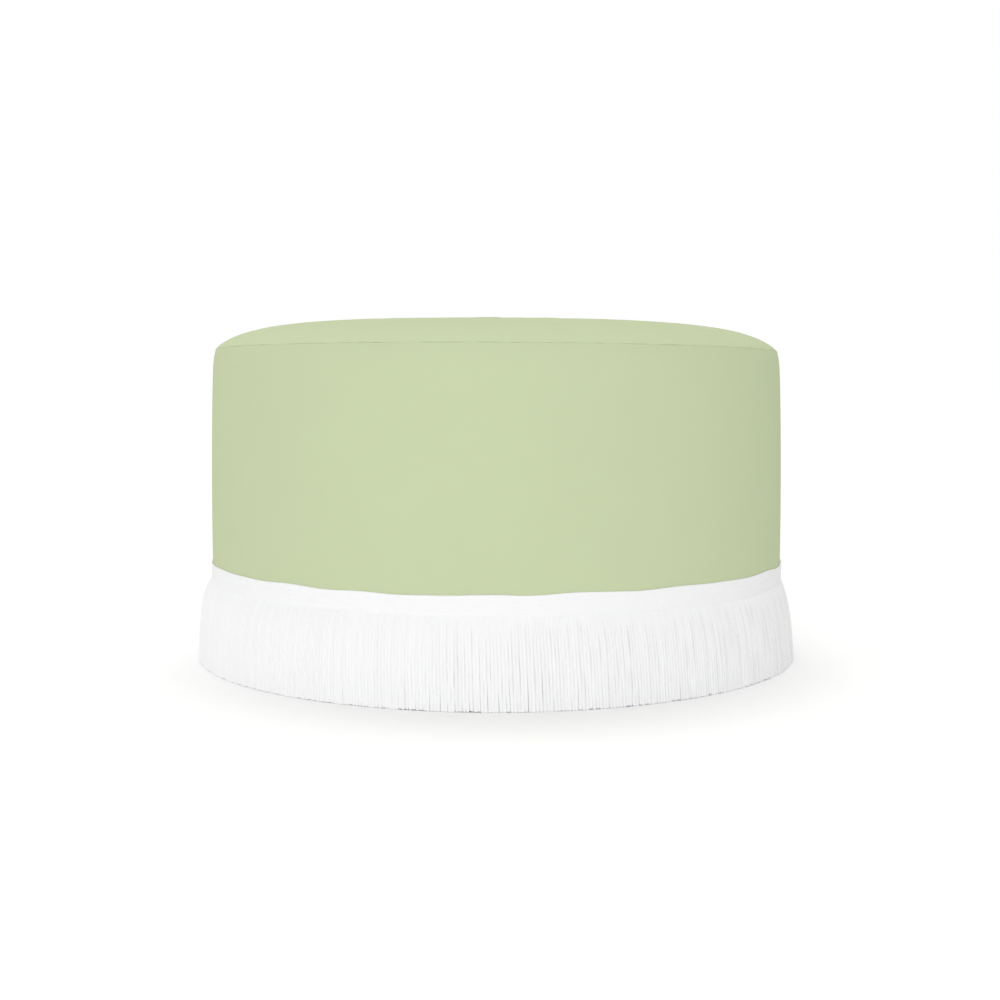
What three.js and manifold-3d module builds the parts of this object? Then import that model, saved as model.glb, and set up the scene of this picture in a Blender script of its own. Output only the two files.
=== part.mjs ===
// A round upholstered tuffet: a padded drum on four short feet, with a fringe round its base.
// Lengths are in millimetres. The floor is z = 0, +Z is up, and the drum stands on the Z axis.
import * as THREE from "three";
import { mergeVertices } from "three/addons/utils/BufferGeometryUtils.js";
import Module from "manifold-3d";

const wasm = await Module();
wasm.setup();

// The drum as it is seen: its radius over the cloth, its seam and its crowned seat
const body_radius = 381;
const waist_height = 260;
const seam_height = 402;
const seam_draw = 5;
const seam_draw_power = 5.5;
const hem_draw = 5;
const edge_rise = 32.3;
const dome_rise = 5.7;
const edge_power = 7.7;
const edge_round_power = 0.8;

// Facets round the drum and round its turned and threaded pieces
const drum_sides = 48;
const foot_sides = 12;
const bolt_sides = 12;
const screw_sides = 8;

// Clearance between pieces that touch, and how far a cutting shape runs past what it cuts
const gap = 0.3;
const overrun = 4;
const weld_distance = 0.0001;

// Cloth, wadding and foam
const cover_thickness = 1.2;
const wadding_thickness = 12;
const hem_width = 42;
const hem_turn = 6;
const deck_cloth_thickness = 1;
const deck_cloth_margin = 22;
const dust_cloth_thickness = 0.8;
const dust_cloth_lap = 15;
const dust_cloth_slope = 6;

// Timber frame
const board_thickness = 18;
const seat_edge_depth = 63;
const ring_width = 78;
const post_width = 45;
const post_count = 6;
const wall_thickness = 3;

// Webbing under the seat
const strap_width = 50;
const strap_thickness = 2;
const strap_count = 4;
const strap_corner_margin = 18;
const strap_ramp = 24;
const strap_end_margin = 12;

// Feet, glides and their bolts
const foot_count = 4;
const foot_inset = 94;
const foot_height = 36;
const foot_top_radius = 26;
const foot_toe_radius = 20;
const foot_bead_height = 7;
const foot_chamfer = 2;
const glide_thickness = 3;
const glide_radius = 13;
const glide_chamfer = 1;
const glide_pin_radius = 1.5;
const glide_pin_length = 10;
const bolt_radius = 4;
const bolt_foot_depth = 20;
const bolt_point_length = 3;
const nut_flange_radius = 11;
const nut_flange_thickness = 1.5;
const nut_wall = 1.2;
const nut_barrel_length = 12;

// Countersunk wood screws
const screw_radius = 2.5;
const screw_head_radius = 4.8;
const screw_head_height = 3;
const screw_length = 50;
const screw_point_length = 5;

// Fringe: a woven heading with looped cords hanging from it
const heading_top_height = 127;
const heading_width = 24;
const heading_thickness = 1.7;
const strand_count = 320;
const strand_gap = 0.5;
const strand_depth = 3.2;
const strand_end_height = 3;
const strand_lean = 9.6;
const backing_slice_height = 4;
const backing_slice_back = 0.3;
const backing_slice_lip = 0.5;
const flare_drop = 27;
const flare_spread = 8.2;
const end_spread = 14.6;
const fringe_names = ["fringe_right", "fringe_back", "fringe_left", "fringe_front"];

// Finishes, one for each material on the piece
const finishes = {
  cover_cloth: { color: 0xcbd6ae, roughness: 0.9, metalness: 0 },
  fringe_yarn: { color: 0xf3f3f0, roughness: 0.95, metalness: 0 },
  wadding: { color: 0xf4f4f2, roughness: 1, metalness: 0 },
  foam: { color: 0xf0e6b8, roughness: 0.95, metalness: 0 },
  hessian: { color: 0xb49a6c, roughness: 0.95, metalness: 0 },
  webbing: { color: 0xa58a5a, roughness: 0.9, metalness: 0 },
  dust_cloth: { color: 0x2a2a2c, roughness: 0.95, metalness: 0 },
  plywood: { color: 0xd2b383, roughness: 0.7, metalness: 0 },
  pine: { color: 0xd9bd8a, roughness: 0.7, metalness: 0 },
  hardboard: { color: 0x8a6544, roughness: 0.8, metalness: 0 },
  foot_wood: { color: 0x3b2a1f, roughness: 0.45, metalness: 0 },
  nylon: { color: 0xdcdcd6, roughness: 0.5, metalness: 0 },
  zinc_steel: { color: 0xb9bcbf, roughness: 0.35, metalness: 1 },
};

// Heights that follow from what stands on what
const foot_base_height = glide_thickness + gap;
const foot_top_height = foot_base_height + foot_height;
const dust_cloth_height = foot_top_height + gap;
const base_height = dust_cloth_height + dust_cloth_thickness + gap;
const base_top_height = base_height + board_thickness;
const hem_height = base_height - gap - cover_thickness;
const dust_lap_height = hem_height - gap - dust_cloth_thickness;
const deck_height = seam_height - seat_edge_depth;
const ring_height = deck_height - board_thickness;
const strap_low_height = deck_height + gap;
const strap_high_height = strap_low_height + strap_thickness + gap;
const deck_cloth_height = strap_high_height + strap_thickness + gap;
const foam_height = deck_cloth_height + deck_cloth_thickness + gap;
const heading_base_height = heading_top_height - heading_width;
const slice_top_height = heading_base_height - gap;
const slice_base_height = slice_top_height - backing_slice_height;

// Radii that follow from what fits in what
const cover_inset = cover_thickness + gap;
const wadding_inset = cover_inset + wadding_thickness;
const foam_inset = wadding_inset + gap;
const seam_radius = body_radius - seam_draw;
const foam_radius = seam_radius - foam_inset;
const wall_radius = body_radius - foam_inset;
const wall_inner_radius = wall_radius - wall_thickness;
const board_radius = wall_inner_radius - gap;
const hem_inner_radius = board_radius - hem_width;
const dust_cloth_radius = hem_inner_radius + dust_cloth_lap;
const ring_inner_radius = board_radius - ring_width;
const foot_circle_radius = board_radius - foot_inset;
const nut_bore_radius = bolt_radius + gap;
const nut_barrel_radius = nut_bore_radius + nut_wall;
const strap_reach = (board_radius - strap_corner_margin) / Math.SQRT2 - strap_width / 2 - strap_ramp;
const strap_pitch = 2 * strap_reach / (strap_count - 1);
const facet_inset_share = Math.cos(Math.PI / drum_sides);
const post_face_radius = Math.sqrt((board_radius * facet_inset_share) ** 2 - (post_width / 2) ** 2);
const post_circle_radius = post_face_radius - post_width / 2;

// A closed geometry with its shared corners merged and its collapsed triangles left out
function close_up(geometry) {
  const bare = geometry.clone();
  bare.deleteAttribute("normal");
  bare.deleteAttribute("uv");
  const merged = mergeVertices(bare, weld_distance);
  const corners = merged.index.array;
  const kept = [];
  for (let i = 0; i < corners.length; i += 3) {
    const [a, b, c] = corners.slice(i, i + 3);
    if (a !== b && b !== c && c !== a) kept.push(a, b, c);
  }
  merged.setIndex(kept);
  return merged;
}

function to_solid(geometry) {
  const merged = close_up(geometry);
  const vertProperties = new Float32Array(merged.attributes.position.array);
  const triVerts = new Uint32Array(merged.index.array);
  return new wasm.Manifold(new wasm.Mesh({ numProp: 3, vertProperties, triVerts }));
}

function to_geometry(solid) {
  const mesh = solid.getMesh();
  const geometry = new THREE.BufferGeometry();
  geometry.setAttribute("position", new THREE.BufferAttribute(new Float32Array(mesh.vertProperties), 3));
  geometry.setIndex(new THREE.BufferAttribute(new Uint32Array(mesh.triVerts), 1));
  return geometry;
}

function cut(geometry, tools) {
  const start = to_solid(geometry);
  return to_geometry(tools.reduce((solid, tool) => solid.subtract(to_solid(tool)), start));
}

function join(geometries) {
  const [first, ...others] = geometries.map(to_solid);
  return to_geometry(others.reduce((solid, other) => solid.add(other), first));
}

function keep_inside(geometry, box) {
  return to_geometry(to_solid(geometry).intersect(to_solid(box)));
}

// A solid of revolution about Z. The outline holds [radius, height] pairs and runs up the outside.
function turn(outline, sides) {
  const points = outline.map(([radius, height]) => new THREE.Vector2(radius, height));
  if (outline[0][0] > 0) points.push(points[0].clone());
  return new THREE.LatheGeometry(points, sides).rotateX(Math.PI / 2);
}

function disc(radius, base, top, sides) {
  return turn([[0, base], [radius, base], [radius, top], [0, top]], sides);
}

function hoop(inner, outer, base, top, sides) {
  return turn([[inner, base], [outer, base], [outer, top], [inner, top]], sides);
}

function box(length, width, height, x, y, z) {
  return new THREE.BoxGeometry(length, width, height).translate(x, y, z);
}

function piece(name, geometry, finish) {
  const look = new THREE.MeshStandardMaterial({ ...finishes[finish], flatShading: true });
  const mesh = new THREE.Mesh(close_up(geometry), look);
  mesh.name = name;
  return mesh;
}

// Angle of copy i of a ring of copies, the first one at start
function ring_angle(i, count, start) {
  return start + 2 * Math.PI * i / count;
}

function at_angle(mesh, radius, angle, height) {
  mesh.position.set(radius * Math.cos(angle), radius * Math.sin(angle), height);
  mesh.rotation.z = angle;
  return mesh;
}

function spots(count, radius, start) {
  return Array.from({ length: count }, (_, i) => {
    const angle = ring_angle(i, count, start);
    return [radius * Math.cos(angle), radius * Math.sin(angle)];
  });
}

const foot_spots = spots(foot_count, foot_circle_radius, Math.PI / foot_count);
const post_start = Math.PI / post_count;
const post_spots = spots(post_count, post_circle_radius, post_start);

// Outside radius of the side cover at a height: a slight barrel, drawn in at the seam and the hem
function side_radius(height) {
  if (height > waist_height) {
    const share = (height - waist_height) / (seam_height - waist_height);
    return body_radius - seam_draw * share ** seam_draw_power;
  }
  return body_radius - hem_draw * ((waist_height - height) / waist_height) ** 2;
}

// A point of the crowned seat, at a share of its radius, set inwards by a depth below the cloth
function crown_point(share, depth) {
  const edge = (1 - share ** edge_power) ** edge_round_power;
  const rise = (edge_rise - depth) * edge + dome_rise * (1 - share ** 2);
  return [(seam_radius - depth) * share, seam_height + rise];
}

// Outer points run from the rim to the top, and inner points run back down
function crown_shell(outer_depth, inner_depth, shares) {
  const outer = shares.map((share) => crown_point(share, outer_depth));
  const inner = shares.map((share) => crown_point(share, inner_depth)).reverse();
  return turn([...outer, ...inner], drum_sides);
}

// Every second value of a list that the padding shares with the cloth over it
function coarser(values) {
  return values.filter((_, i) => i % 2 === 0);
}

const cover_shares = [1, 0.997, 0.986, 0.962, 0.92, 0.85, 0.72, 0.45, 0];
const padding_shares = coarser(cover_shares);

function top_cover() {
  return piece("top_cover", crown_shell(0, cover_thickness, cover_shares), "cover_cloth");
}

function crown_wadding() {
  return piece("crown_wadding", crown_shell(cover_inset, wadding_inset, padding_shares), "wadding");
}

function seat_foam() {
  const crown = padding_shares.map((share) => crown_point(share, foam_inset));
  const outline = [[0, foam_height], [foam_radius, foam_height], ...crown];
  return piece("seat_foam", turn(outline, drum_sides), "foam");
}

const side_shares = [0, 0.25, 0.5, 0.72, 0.87, 0.955, 1];
const side_turn_height = hem_height + hem_turn;
const side_top_height = seam_height - gap;
const side_heights = side_shares.map((share) =>
  side_turn_height + share * (side_top_height - side_turn_height));

// The side cover runs up from its turned hem, and its inner face follows one cloth thickness in
function side_cover() {
  const corner = side_radius(side_turn_height) - hem_turn;
  const outer = side_heights.map((height) => [side_radius(height), height]);
  const inner = side_heights.map((height) => [side_radius(height) - cover_thickness, height]).reverse();
  const outline = [
    [hem_inner_radius, hem_height],
    [corner, hem_height],
    ...outer,
    ...inner,
    [corner, hem_height + cover_thickness],
    [hem_inner_radius, hem_height + cover_thickness],
  ];
  return piece("side_cover", turn(outline, drum_sides), "cover_cloth");
}

// Wadding wraps the wall panels, and above the deck it closes in on the foam
function side_wadding() {
  const outer = coarser(side_heights).map((height) => [side_radius(height) - cover_inset, height]);
  const outline = [
    [wall_radius + gap, base_height],
    [side_radius(side_turn_height) - cover_inset - hem_turn, base_height],
    ...outer,
    [foam_radius + gap, side_top_height],
    [foam_radius + gap, foam_height],
    [wall_radius + gap, foam_height],
  ];
  return piece("side_wadding", turn(outline, drum_sides), "wadding");
}

function deck_cloth() {
  const top = deck_cloth_height + deck_cloth_thickness;
  const radius = board_radius - deck_cloth_margin;
  return piece("deck_cloth", disc(radius, deck_cloth_height, top, drum_sides), "hessian");
}

// The dust cloth lies against the base board and laps under the raw edge of the hem
function dust_cloth() {
  const flat_radius = hem_inner_radius - gap - dust_cloth_slope;
  const outline = [
    [0, dust_cloth_height],
    [flat_radius, dust_cloth_height],
    [hem_inner_radius - gap, dust_lap_height],
    [dust_cloth_radius, dust_lap_height],
    [dust_cloth_radius, dust_lap_height + dust_cloth_thickness],
    [hem_inner_radius - gap, dust_lap_height + dust_cloth_thickness],
    [flat_radius, dust_cloth_height + dust_cloth_thickness],
    [0, dust_cloth_height + dust_cloth_thickness],
  ];
  const holes = foot_spots.map(([x, y]) =>
    bolt_hole(bolt_radius + gap, dust_lap_height, base_height, x, y));
  return piece("dust_cloth", cut(turn(outline, drum_sides), holes), "dust_cloth");
}

function bolt_hole(radius, base, top, x, y) {
  return disc(radius, base - overrun, top + overrun, bolt_sides).translate(x, y, 0);
}

// A wood screw points up from its head at z = 0. The same shape, made larger, cuts its hole.
function screw_shape(margin) {
  const tip = screw_length + margin;
  return turn([
    [0, -margin],
    [screw_head_radius + margin, -margin],
    [screw_radius + margin, screw_head_height],
    [screw_radius + margin, tip - screw_point_length],
    [0, tip],
  ], screw_sides);
}

function screw_up(margin, height) {
  return screw_shape(margin).translate(0, 0, height);
}

function screw_down(margin, height) {
  return screw_shape(margin).rotateX(Math.PI).translate(0, 0, height);
}

function base_board() {
  const board = disc(board_radius, base_height, base_top_height, drum_sides);
  const barrels = foot_spots.map(([x, y]) =>
    bolt_hole(nut_barrel_radius + gap, base_height, base_top_height, x, y));
  const screws = post_spots.map(([x, y]) => screw_up(gap, base_height).translate(x, y, 0));
  return piece("base_board", cut(board, [...barrels, ...screws]), "plywood");
}

function top_ring() {
  const ring = hoop(ring_inner_radius, board_radius, ring_height, deck_height, drum_sides);
  const screws = post_spots.map(([x, y]) => screw_down(gap, deck_height).translate(x, y, 0));
  return piece("top_ring", cut(ring, screws), "plywood");
}

function posts() {
  const group = new THREE.Group();
  const base = base_top_height + gap;
  const length = ring_height - gap - base;
  const blank = box(post_width, post_width, length, 0, 0, base + length / 2);
  for (let i = 0; i < post_count; i++) {
    const angle = ring_angle(i, post_count, post_start);
    const holes = [screw_up(gap, base_height), screw_down(gap, deck_height)]
      .map((hole) => hole.rotateZ(-angle));
    group.add(at_angle(piece(`post_${i + 1}`, cut(blank, holes), "pine"), post_circle_radius, angle, 0));
  }
  return group;
}

function frame_screws() {
  const group = new THREE.Group();
  post_spots.forEach(([x, y], i) => {
    const lower = piece(`base_screw_${i + 1}`, screw_up(0, base_height), "zinc_steel");
    const upper = piece(`ring_screw_${i + 1}`, screw_down(0, deck_height), "zinc_steel");
    lower.position.set(x, y, 0);
    upper.position.set(x, y, 0);
    group.add(lower, upper);
  });
  return group;
}

// Two bent hardboard panels close the side of the frame and meet on the front and back posts
function wall_panels() {
  const group = new THREE.Group();
  const height = deck_height - base_height;
  const shell = hoop(wall_inner_radius, wall_radius, base_height, deck_height, drum_sides);
  const reach = wall_radius + overrun;
  for (const [name, side] of [["wall_panel_right", 1], ["wall_panel_left", -1]]) {
    const half = box(reach, 2 * reach, height + 2 * overrun,
      side * (reach + gap) / 2, 0, base_height + height / 2);
    group.add(piece(name, keep_inside(shell, half), "hardboard"));
  }
  return group;
}

// Webbing straps cross the ring in both directions, each one passing over and under in turn
function strap_position(i) {
  return (i - (strap_count - 1) / 2) * strap_pitch;
}

function strap_half_length(offset) {
  const outer_edge = Math.abs(offset) + strap_width / 2;
  return Math.sqrt(board_radius ** 2 - outer_edge ** 2) - strap_end_margin;
}

// Places along a strap with the height of its lower face: flat at each crossing, sloped between them.
// The straps that run the other way have the other shift, so where one is low its partner is high.
function strap_path(index, shift) {
  const half_length = strap_half_length(strap_position(index));
  const path = [[-half_length, strap_low_height]];
  const half_flat = strap_width / 2 + gap;
  const first = strap_position(0) - half_flat;
  const last = strap_position(strap_count - 1) + half_flat;
  path.push([first - strap_ramp, strap_low_height]);
  for (let j = 0; j < strap_count; j++) {
    const height = (index + j + shift) % 2 ? strap_high_height : strap_low_height;
    path.push([strap_position(j) - half_flat, height], [strap_position(j) + half_flat, height]);
  }
  path.push([last + strap_ramp, strap_low_height], [half_length, strap_low_height]);
  return path;
}

function strap_geometry(path) {
  const lower = path.map(([along, height]) => new THREE.Vector2(along, height));
  const upper = path.map(([along, height]) => new THREE.Vector2(along, height + strap_thickness));
  const outline = new THREE.Shape([...lower, ...upper.reverse()]);
  return new THREE.ExtrudeGeometry(outline, { depth: strap_width, bevelEnabled: false })
    .translate(0, 0, -strap_width / 2)
    .rotateX(Math.PI / 2);
}

function webbing() {
  const group = new THREE.Group();
  for (let i = 0; i < strap_count; i++) {
    const across = piece(`strap_across_${i + 1}`, strap_geometry(strap_path(i, 0)), "webbing");
    across.position.y = strap_position(i);
    const along = piece(`strap_along_${i + 1}`, strap_geometry(strap_path(i, 1)), "webbing");
    along.position.x = strap_position(i);
    along.rotation.z = Math.PI / 2;
    group.add(across, along);
  }
  return group;
}

function foot_blank() {
  const shoulder = foot_height - foot_bead_height;
  return turn([
    [0, 0],
    [foot_toe_radius - foot_chamfer, 0],
    [foot_toe_radius, foot_chamfer],
    [foot_top_radius - foot_chamfer, shoulder],
    [foot_top_radius, shoulder + foot_chamfer],
    [foot_top_radius, foot_height],
    [0, foot_height],
  ], foot_sides);
}

function glide_shape() {
  return turn([
    [0, 0],
    [glide_radius - glide_chamfer, 0],
    [glide_radius, glide_chamfer],
    [glide_radius, glide_thickness],
    [glide_pin_radius, glide_thickness],
    [glide_pin_radius, glide_thickness + glide_pin_length],
    [0, glide_thickness + glide_pin_length],
  ], screw_sides);
}

// A hanger bolt stands half in the foot and half in the tee nut, with a point at its lower end
function bolt_shape() {
  const top = base_top_height + nut_flange_thickness;
  const foot_end = foot_top_height - bolt_foot_depth;
  return turn([
    [0, foot_end],
    [bolt_radius, foot_end + bolt_point_length],
    [bolt_radius, top],
    [0, top],
  ], bolt_sides);
}

function nut_shape() {
  const seat = base_top_height + gap;
  return turn([
    [nut_bore_radius, seat - nut_barrel_length],
    [nut_barrel_radius, seat - nut_barrel_length],
    [nut_barrel_radius, seat],
    [nut_flange_radius, seat],
    [nut_flange_radius, seat + nut_flange_thickness],
    [nut_bore_radius, seat + nut_flange_thickness],
  ], bolt_sides);
}

function feet() {
  const group = new THREE.Group();
  const pin_hole = disc(glide_pin_radius + gap, -overrun, glide_pin_length + gap, screw_sides);
  const bore_base = foot_height - bolt_foot_depth - gap;
  const bolt_bore = disc(bolt_radius + gap, bore_base, foot_height + overrun, bolt_sides);
  const turned = cut(foot_blank(), [pin_hole, bolt_bore]);
  foot_spots.forEach(([x, y], i) => {
    const number = i + 1;
    const foot = piece(`foot_${number}`, turned, "foot_wood");
    foot.position.set(x, y, foot_base_height);
    const glide = piece(`foot_glide_${number}`, glide_shape(), "nylon");
    const bolt = piece(`hanger_bolt_${number}`, bolt_shape(), "zinc_steel");
    const nut = piece(`tee_nut_${number}`, nut_shape(), "zinc_steel");
    for (const mesh of [glide, bolt, nut]) mesh.position.set(x, y, 0);
    group.add(foot, glide, bolt, nut);
  });
  return group;
}

// The heading is a woven tape that lies on the side cover and follows its slight taper
function heading() {
  const inner = (height) => side_radius(height) + gap;
  return piece("fringe_heading", turn([
    [inner(heading_base_height), heading_base_height],
    [inner(heading_base_height) + heading_thickness, heading_base_height],
    [inner(heading_top_height) + heading_thickness, heading_top_height],
    [inner(heading_top_height), heading_top_height],
  ], drum_sides), "fringe_yarn");
}

// Radius of a strand's outer ridge, which leaves the heading, flares, and then hangs nearly straight
const slice_inner_radius = side_radius(slice_top_height) + gap;
const strand_top_radius = slice_inner_radius + backing_slice_back + strand_depth;
const strand_pitch = 2 * Math.PI * (strand_top_radius - strand_depth) / strand_count;
const strand_levels = [
  [slice_base_height, strand_top_radius],
  [slice_base_height - flare_drop, strand_top_radius + flare_spread],
  [strand_end_height, strand_top_radius + end_spread],
];

function strand_corner(radius, angle, height) {
  return [radius * Math.cos(angle), radius * Math.sin(angle), height];
}

// One strand is a three-sided rod with its ridge outwards, leaning sideways as it hangs
function strand(angle) {
  const lean_slope = strand_lean / (slice_base_height - strand_end_height);
  const half_spread = Math.PI / strand_count * (1 - strand_gap / strand_pitch);
  const corners = strand_levels.flatMap(([height, ridge]) => {
    const here = angle + lean_slope * (slice_base_height - height) / ridge;
    const back = ridge - strand_depth;
    return [
      strand_corner(ridge, here, height),
      strand_corner(back, here + half_spread, height),
      strand_corner(back, here - half_spread, height),
    ];
  });
  const faces = [[0, 1, 2]];
  for (let level = 1; level < strand_levels.length; level++) {
    const above = 3 * (level - 1);
    const below = 3 * level;
    for (let side = 0; side < 3; side++) {
      const next = (side + 1) % 3;
      faces.push([above + side, below + side, below + next], [above + side, below + next, above + next]);
    }
  }
  const end = 3 * (strand_levels.length - 1);
  faces.push([end + 2, end + 1, end]);
  const geometry = new THREE.BufferGeometry();
  geometry.setAttribute("position", new THREE.Float32BufferAttribute(corners.flat(), 3));
  geometry.setIndex(faces.flat());
  return geometry;
}

// Each quarter of the fringe is a slice of the heading's lower edge with its strands hanging from it
function fringe_quarters() {
  const group = new THREE.Group();
  const quarter_count = fringe_names.length;
  const quarter = 2 * Math.PI / quarter_count;
  const outer = strand_top_radius / facet_inset_share + backing_slice_lip;
  const ring = hoop(slice_inner_radius, outer, slice_base_height, slice_top_height, drum_sides);
  const reach = outer + overrun;
  const per_quarter = strand_count / quarter_count;
  fringe_names.forEach((name, i) => {
    const start = i * quarter - quarter / 2;
    const wedge = box(reach, reach, backing_slice_height + overrun,
      (reach + gap) / 2, (reach + gap) / 2, slice_top_height - backing_slice_height / 2)
      .rotateZ(start);
    const strands = Array.from({ length: per_quarter }, (_, j) =>
      strand(start + quarter * (j + 0.5) / per_quarter));
    group.add(piece(name, join([keep_inside(ring, wedge), ...strands]), "fringe_yarn"));
  });
  return group;
}

const tuffet = new THREE.Group();
tuffet.add(
  top_cover(),
  crown_wadding(),
  seat_foam(),
  side_cover(),
  side_wadding(),
  deck_cloth(),
  webbing(),
  top_ring(),
  posts(),
  wall_panels(),
  base_board(),
  frame_screws(),
  dust_cloth(),
  feet(),
  heading(),
  fringe_quarters(),
);

export default tuffet;
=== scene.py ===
# %% [markdown]
# # A round tuffet with a looped fringe
# The real thing is an upholstered drum: a timber frame, webbing, foam and wadding, a smooth cloth
# cover of two pieces, and a deep fringe that hides its short feet. Its working solids come from a
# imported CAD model, the frame. This script loads the frame, builds every soft and finely made piece
# around it in mesh code, gives all of them procedural materials, and sets up a plain studio.

# %% Load the frame
import math

import bpy
import numpy as np
from mathutils import Matrix, Vector, noise


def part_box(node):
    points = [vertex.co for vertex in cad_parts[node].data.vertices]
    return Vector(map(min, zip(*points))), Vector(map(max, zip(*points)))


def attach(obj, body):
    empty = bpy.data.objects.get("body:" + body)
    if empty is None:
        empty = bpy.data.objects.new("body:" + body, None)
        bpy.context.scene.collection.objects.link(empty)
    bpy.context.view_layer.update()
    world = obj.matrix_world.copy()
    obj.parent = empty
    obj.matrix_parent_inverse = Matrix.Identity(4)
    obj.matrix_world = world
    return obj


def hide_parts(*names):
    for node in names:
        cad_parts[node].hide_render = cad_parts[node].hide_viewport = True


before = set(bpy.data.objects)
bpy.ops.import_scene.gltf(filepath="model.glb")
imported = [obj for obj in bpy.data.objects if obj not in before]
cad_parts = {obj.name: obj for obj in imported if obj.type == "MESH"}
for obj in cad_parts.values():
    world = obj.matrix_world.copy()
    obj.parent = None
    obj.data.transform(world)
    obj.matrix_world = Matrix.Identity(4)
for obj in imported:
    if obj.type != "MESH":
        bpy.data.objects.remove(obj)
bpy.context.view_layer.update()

# %% [markdown]
# ## Sizes
# Everything is in metres, in the frame's own axes, with the floor at zero. The photographed tape
# hangs a little lower than the plain CAD heading, so a named drop moves it. Each other size is
# defined where it is first used.

# %% Sizes read from the frame
MM = 0.001


def low(node):
    """Lowest corner of a CAD node."""
    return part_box(node)[0]


def high(node):
    """Highest corner of a CAD node."""
    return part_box(node)[1]


def middle_of(node):
    """Middle of a CAD node, seen from above."""
    lowest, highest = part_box(node)
    return (lowest.x + highest.x) / 2, (lowest.y + highest.y) / 2


seam_height = low("top_cover").z
hem_height = low("side_cover").z
heading_drop = 1.9 * MM
flare_top = low("fringe_heading").z
heading_base = low("fringe_heading").z - heading_drop
heading_top = high("fringe_heading").z - heading_drop
foam_base = low("seat_foam").z
print(f"seam at {seam_height:.4f}, hem at {hem_height:.4f}")
print(f"heading from {heading_base:.4f} to {heading_top:.4f}")

# %% [markdown]
# ## Curve of the drum
# A stuffed drum is no plain cylinder: its side swells a little at the waist and is drawn in at the
# hem and the seam, and its seat is a low dome with a round shoulder. It could be sculpted, but an
# outline can be measured on the photograph, so both curves are formulas whose few sizes were fitted
# to it. A box doesn't hold a curve, so the sizes are written here. The padding is packed unevenly,
# which makes the seat lean, so every soft piece above the deck is leaned in the same way.

# %% Curve of the drum
body_radius = 381.6 * MM
waist_height = 260 * MM
seam_ease = 2.0 * MM
seam_tuck = 3.3 * MM
seam_tuck_power = 15
hem_draw = 5 * MM
edge_rise = 32.3 * MM
dome_rise = 5.7 * MM
edge_power = 7.7
edge_round_power = 0.8
seat_lean = 0.0045
seam_radius = body_radius - seam_ease - seam_tuck


def side_radius(height):
    """Outside radius of the side band: a slight barrel, drawn in at the seam and the hem."""
    above = np.clip((height - waist_height) / (seam_height - waist_height), 0, 1)
    below = np.clip((waist_height - height) / waist_height, 0, None)
    tuck = seam_ease * above ** 2 + seam_tuck * above ** seam_tuck_power
    return body_radius - tuck - hem_draw * below ** 2


def crown_profile(depth, count=400):
    """Radius and height down the crowned seat from its middle to its rim, set in by a depth."""
    share = 1 - (1 - np.linspace(0, 1, count)) ** 3
    edge = (1 - share ** edge_power) ** edge_round_power
    rise = (edge_rise - depth) * edge + dome_rise * (1 - share ** 2)
    return (seam_radius - depth) * share, seam_height + rise


def leaned(points):
    """Points above the deck moved up on the left and down on the right, as the seat is packed."""
    share = np.clip((points[..., 2] - foam_base) / (seam_height - foam_base), 0, 1)
    moved = points.copy()
    moved[..., 2] -= seat_lean * points[..., 0] * share
    return moved


print(f"waist {2 * side_radius(waist_height):.3f} across, crown {crown_profile(0)[1][0]:.4f} high")

# %% [markdown]
# ## Camera
# The photograph was taken from the front, level, a little below the seat. A camera set by eye would
# be a few pixels off, so this one stands where the outline was fitted to it. Its shift moves the
# picture and leaves the perspective as it is.

# %% Place the camera
camera_distance = 1.9015
camera_height = 0.3468
photo_side = 1000
photo_centre_x = 496.35
photo_horizon_y = 392.5


def place_camera():
    """Puts a level camera in front of the drum and returns it."""
    data = bpy.data.cameras.new("studio_camera")
    data.lens = 50
    data.sensor_width = 36
    data.shift_x = 0.5 - photo_centre_x / photo_side
    data.shift_y = photo_horizon_y / photo_side - 0.5
    camera = bpy.data.objects.new("studio_camera", data)
    camera.location = (0, -camera_distance, camera_height)
    camera.rotation_euler = (math.pi / 2, 0, 0)
    bpy.context.scene.collection.objects.link(camera)
    return camera


bpy.context.scene.camera = place_camera()
bpy.context.scene.view_settings.view_transform = "Standard"
print("camera at", tuple(bpy.context.scene.camera.location))

# %% [markdown]
# ## Small helpers for shader nodes
# A material is a tree of nodes. These helpers add one node in a line: a value that is given as a
# number is set on the socket, and a value that is another node's output is linked to it.

# %% Node helpers
def feed(tree, socket, value):
    """Links the socket to an output, or sets it to a number or a colour."""
    if isinstance(value, bpy.types.NodeSocket):
        tree.links.new(value, socket)
    else:
        socket.default_value = value


def add_node(tree, kind, settings=None, **inputs):
    """Adds a node. A name in inputs is the socket's name with _ for a space."""
    node = tree.nodes.new(kind)
    for name, value in (settings or {}).items():
        setattr(node, name, value)
    for name, value in inputs.items():
        feed(tree, node.inputs[name.replace("_", " ")], value)
    return node


def calc(tree, operation, *values):
    """A Math node's output."""
    node = add_node(tree, "ShaderNodeMath", {"operation": operation})
    for socket, value in zip(node.inputs, values):
        feed(tree, socket, value)
    return node.outputs[0]


def spread(tree, value, low_in, high_in, low_out, high_out):
    """A Map Range node's output, clamped."""
    node = add_node(tree, "ShaderNodeMapRange")
    for socket, number in zip(node.inputs, (value, low_in, high_in, low_out, high_out)):
        feed(tree, socket, number)
    return node.outputs[0]


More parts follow.
